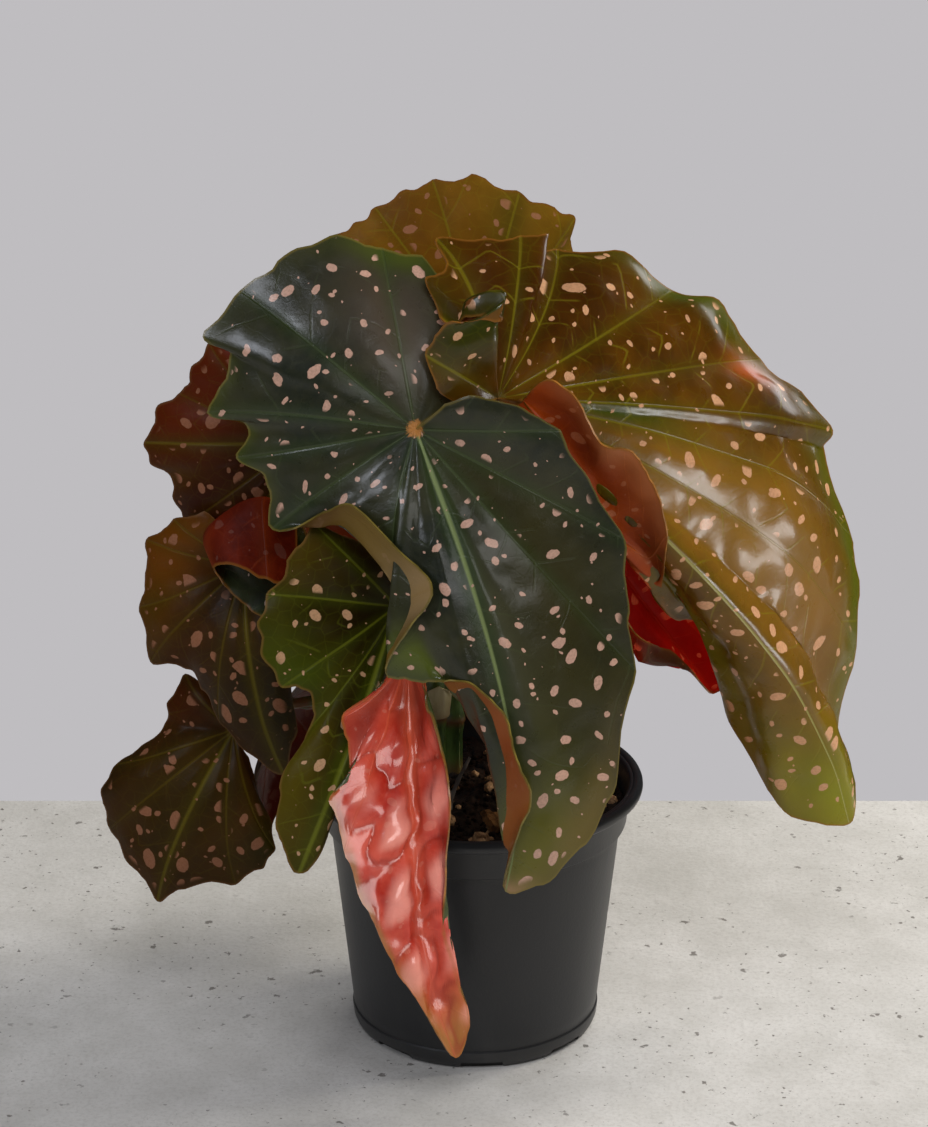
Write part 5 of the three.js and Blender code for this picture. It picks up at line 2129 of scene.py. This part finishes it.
@dataclass
class Studio:
    """The pale floor, the soft lights and the camera."""

    camera_at: Triple = (-0.0041, -0.980, 0.520)
    camera_dip: float = 19.4
    lens: float = 95.0
    floor_width: float = 4.0
    floor_front: float = -2.4
    floor_back: float = 0.19
    floor_depth: float = 0.05

    def _floor(self) -> None:
        """A pale slab whose back edge closes the floor behind the plant."""
        bpy.ops.object.select_all(action="DESELECT")
        bpy.ops.mesh.primitive_cube_add(size=1)
        slab = bpy.context.object
        slab.name = "pale_floor"
        for v in slab.data.vertices:
            v.co.x *= self.floor_width
            v.co.y = self.floor_back if v.co.y > 0 else self.floor_front
            v.co.z = 0.0 if v.co.z > 0 else -self.floor_depth
        made, s, skin, _ = new_material("pale_floor")
        where = s.place()
        cloud = s.noise(where, 0.03, 9.0, 0.7)
        colour = s.mix(s.step(cloud, 0.3, 0.7), rgb("c6c4be"), rgb("d6d4cf"))
        dust = s.noise(where, 0.6, 6.0, 0.75)
        colour = s.mix(s.times(s.step(dust, 0.45, 0.65), 0.35), colour, rgb("aaa69f"))
        worn = s.step(s.noise(where, 0.012, 2.0), 0.4, 0.52)
        for scale, low, high, amount in ((0.34, 0.655, 0.69, 0.85), (0.14, 0.66, 0.69, 0.75)):
            pits = s.times(s.step(s.noise(where, scale, 4.0), low, high), worn)
            colour = s.mix(s.times(pits, amount), colour, rgb("5a544d"))
        s.join(skin.inputs["Base Color"], colour)
        skin.inputs["Roughness"].default_value = 0.75
        s.bump(skin, 0.5, 0.6, s.noise(where, 0.3, 6.0))
        slab.data.materials.append(made)

    def _light(self, name: str, at: Triple, size: Pair,
               power: float, colour: Rgb, aim: Triple = (0, 0, 0.17),
               shiny: bool = True) -> None:
        """One rectangular soft light.

        Args:
            name: its name.
            at: its middle, in metres.
            size: width and height, in metres.
            power: in watts.
            colour: its linear colour.
            aim: the point it faces.
            shiny: whether it shows in glossy surfaces.
        """
        data = bpy.data.lights.new(name, "AREA")
        data.shape, data.size, data.size_y = "RECTANGLE", *size
        data.energy, data.color = power, colour
        lamp = bpy.data.objects.new(name, data)
        bpy.context.scene.collection.objects.link(lamp)
        lamp.location = at
        lamp.visible_glossy, lamp.visible_camera = shiny, False
        lamp.rotation_euler = (Vector(aim) - Vector(at)).to_track_quat("-Z", "Y").to_euler()

    def _world(self) -> None:
        """An even pale grey all round, dimmer as a light than as a background."""
        world = bpy.data.worlds.new("studio")
        bpy.context.scene.world = world
        world.use_nodes = True
        s = Shader(world.node_tree)
        nodes = world.node_tree.nodes
        ray = s.node("LightPath").outputs
        mirrored = s.math("MULTIPLY_ADD", ray["Is Glossy Ray"], -0.12, 0.19)
        tint = s.mix(ray["Is Camera Ray"], rgb("c9c8c8"), rgb("bfbdc0"))
        strength = s.math("MAXIMUM", mirrored, ray["Is Camera Ray"])
        s.join(nodes["Background"].inputs["Color"], tint)
        s.join(nodes["Background"].inputs["Strength"], strength)

    @staticmethod
    def keep_to(lamp: str, piece: Piece) -> None:
        """Lets one light fall on one piece only.

        Args:
            lamp: the light's name.
            piece: the piece.
        """
        lit = bpy.data.collections.new(lamp + "_falls_on")
        lit.objects.link(piece)
        bpy.data.objects[lamp].light_linking.receiver_collection = lit

    def build(self) -> None:
        """Sets up the whole studio."""
        self._floor()
        self._world()
        self._light("key", (0.9, 0.3, 0.95), (0.5, 0.5), 13.0, rgb("fffaf2"), shiny=False)
        self._light("back", (0.5, 1.1, 0.75), (0.8, 0.4), 6.0, rgb("ffffff"), shiny=False)
        self._light("front", (0.2, -0.95, 1.2), (0.9, 0.5), 8.0, rgb("f8f8ff"), shiny=False)
        self._light("glint", (-0.52, -0.6, 0.62), (0.2, 0.2), 1.5, rgb("eef2ff"))
        self._light("soft", (0.25, -0.9, 0.62), (0.45, 0.25), 1.1, rgb("ffffff"))
        aim = (0.09, -0.02, 0.18)
        self._light("sheen", (0.6, -0.43, 0.02), (0.24, 0.24), 3.4, rgb("ffffff"), aim)
        aim = (0.1, 0.0, 0.23)
        self._light("crown", (0.48, 0.46, 0.37), (0.3, 0.3), 1.0, rgb("ffffff"), aim)
        aim = (-0.03, -0.07, 0.09)
        self._light("low", (0.26, -0.5, 0.1), (0.3, 0.26), 2.3, rgb("fff4f0"), aim)
        data = bpy.data.cameras.new("view")
        camera = bpy.data.objects.new("view", data)
        bpy.context.scene.collection.objects.link(camera)
        camera.location = self.camera_at
        camera.rotation_euler = (math.radians(90 - self.camera_dip), 0, 0)
        data.lens, data.sensor_width = self.lens, 36.0
        data.clip_start = 0.05
        bpy.context.scene.camera = camera
        bpy.context.scene.view_settings.view_transform = "Standard"


# ---- The plant -------------------------------------------------------------------------------


CANES = (
    Cane(
        "cane_left", (-14, -1), ((-14, -1, 110), (-15, -2, 150), (-17, -6, 196)), (118, 146, 172),
        {"leaf_front": 190, "leaf_centre": 148, "leaf_hanging": 138, "leaf_curled": 160},
    ),
    Cane(
        "cane_right", (12, 10), ((13, 10, 110), (16, 9, 160), (18, 6, 208)), (112, 140, 170),
        {"leaf_right": 200, "leaf_red": 168, "leaf_back_right": 158},
    ),
    Cane(
        "cane_back", (-8, 24), ((-8, 25, 110), (-8, 27, 160), (-6, 28, 216)), (106, 134, 166, 192),
        {
            "leaf_top": 212, "leaf_left_upper": 186, "leaf_left_middle": 150,
            "leaf_left_lower": 112, "leaf_back_left": 184, "leaf_back": 144, "leaf_low": 114,
        },
    ),
)

# The lights that fall on one leaf only.
LIT_ALONE = (
    ("soft", "leaf_front"), ("sheen", "leaf_right"), ("crown", "leaf_right"),
    ("low", "leaf_hanging"),
)


def main() -> None:
    """Builds every sub-assembly in order."""
    logging.basicConfig(level=logging.INFO, format="%(name)s: %(message)s")
    effects = Effects()
    studio = Studio()
    studio.build()
    Pot().build(SatinPlastic().build(effects))
    Soil().build(
        Mineral("potting_mix", rgb("0e0b09"), rgb("231a14"), 2.5).build(effects),
        Mineral("pumice", rgb("6e4f34"), rgb("a98560"), 2.2, 0.85).build(effects),
        Mineral("bark", rgb("4a3018"), rgb("7c5630"), 3.0).build(effects),
    )
    looks = {look: look.value.build(effects) for look in Leaf}
    blades = make_blades()
    pieces = {blade.name: blade.build(looks[blade.look], i) for i, blade in enumerate(blades)}
    for lamp, leaf in LIT_ALONE:
        studio.keep_to(lamp, pieces[leaf])
    skin = StemSkin("cane_skin", rgb("56702c"), rgb("2f4420"), rgb("6b4a2c"), rgb("a8b078"))
    stalk = StemSkin("stalk_skin", rgb("7a4a2a"), rgb("55602a"), rgb("8a5a3c"), rgb("c8b08c"))
    built = (skin.build(effects), stalk.build(effects))
    named = {blade.name: blade for blade in blades}
    for cane in CANES:
        cane.build(named, *built)
    grey = StemSkin("twig_skin", rgb("7d746a"), rgb("57504a"), rgb("57504a"), rgb("a39a8e"), 0.75)
    Twig().build(grey.build(effects))
    cream = StemSkin("sheath_skin", rgb("c9bf94"), rgb("9a8e60"), rgb("7a5c38"), rgb("e0d8b8"), 0.5)
    Sheath("cane_sheath", (-14.2, -1, 118.5), -80.0).build(cream.build(effects))
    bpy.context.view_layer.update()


if __name__ == "__main__":
    main()
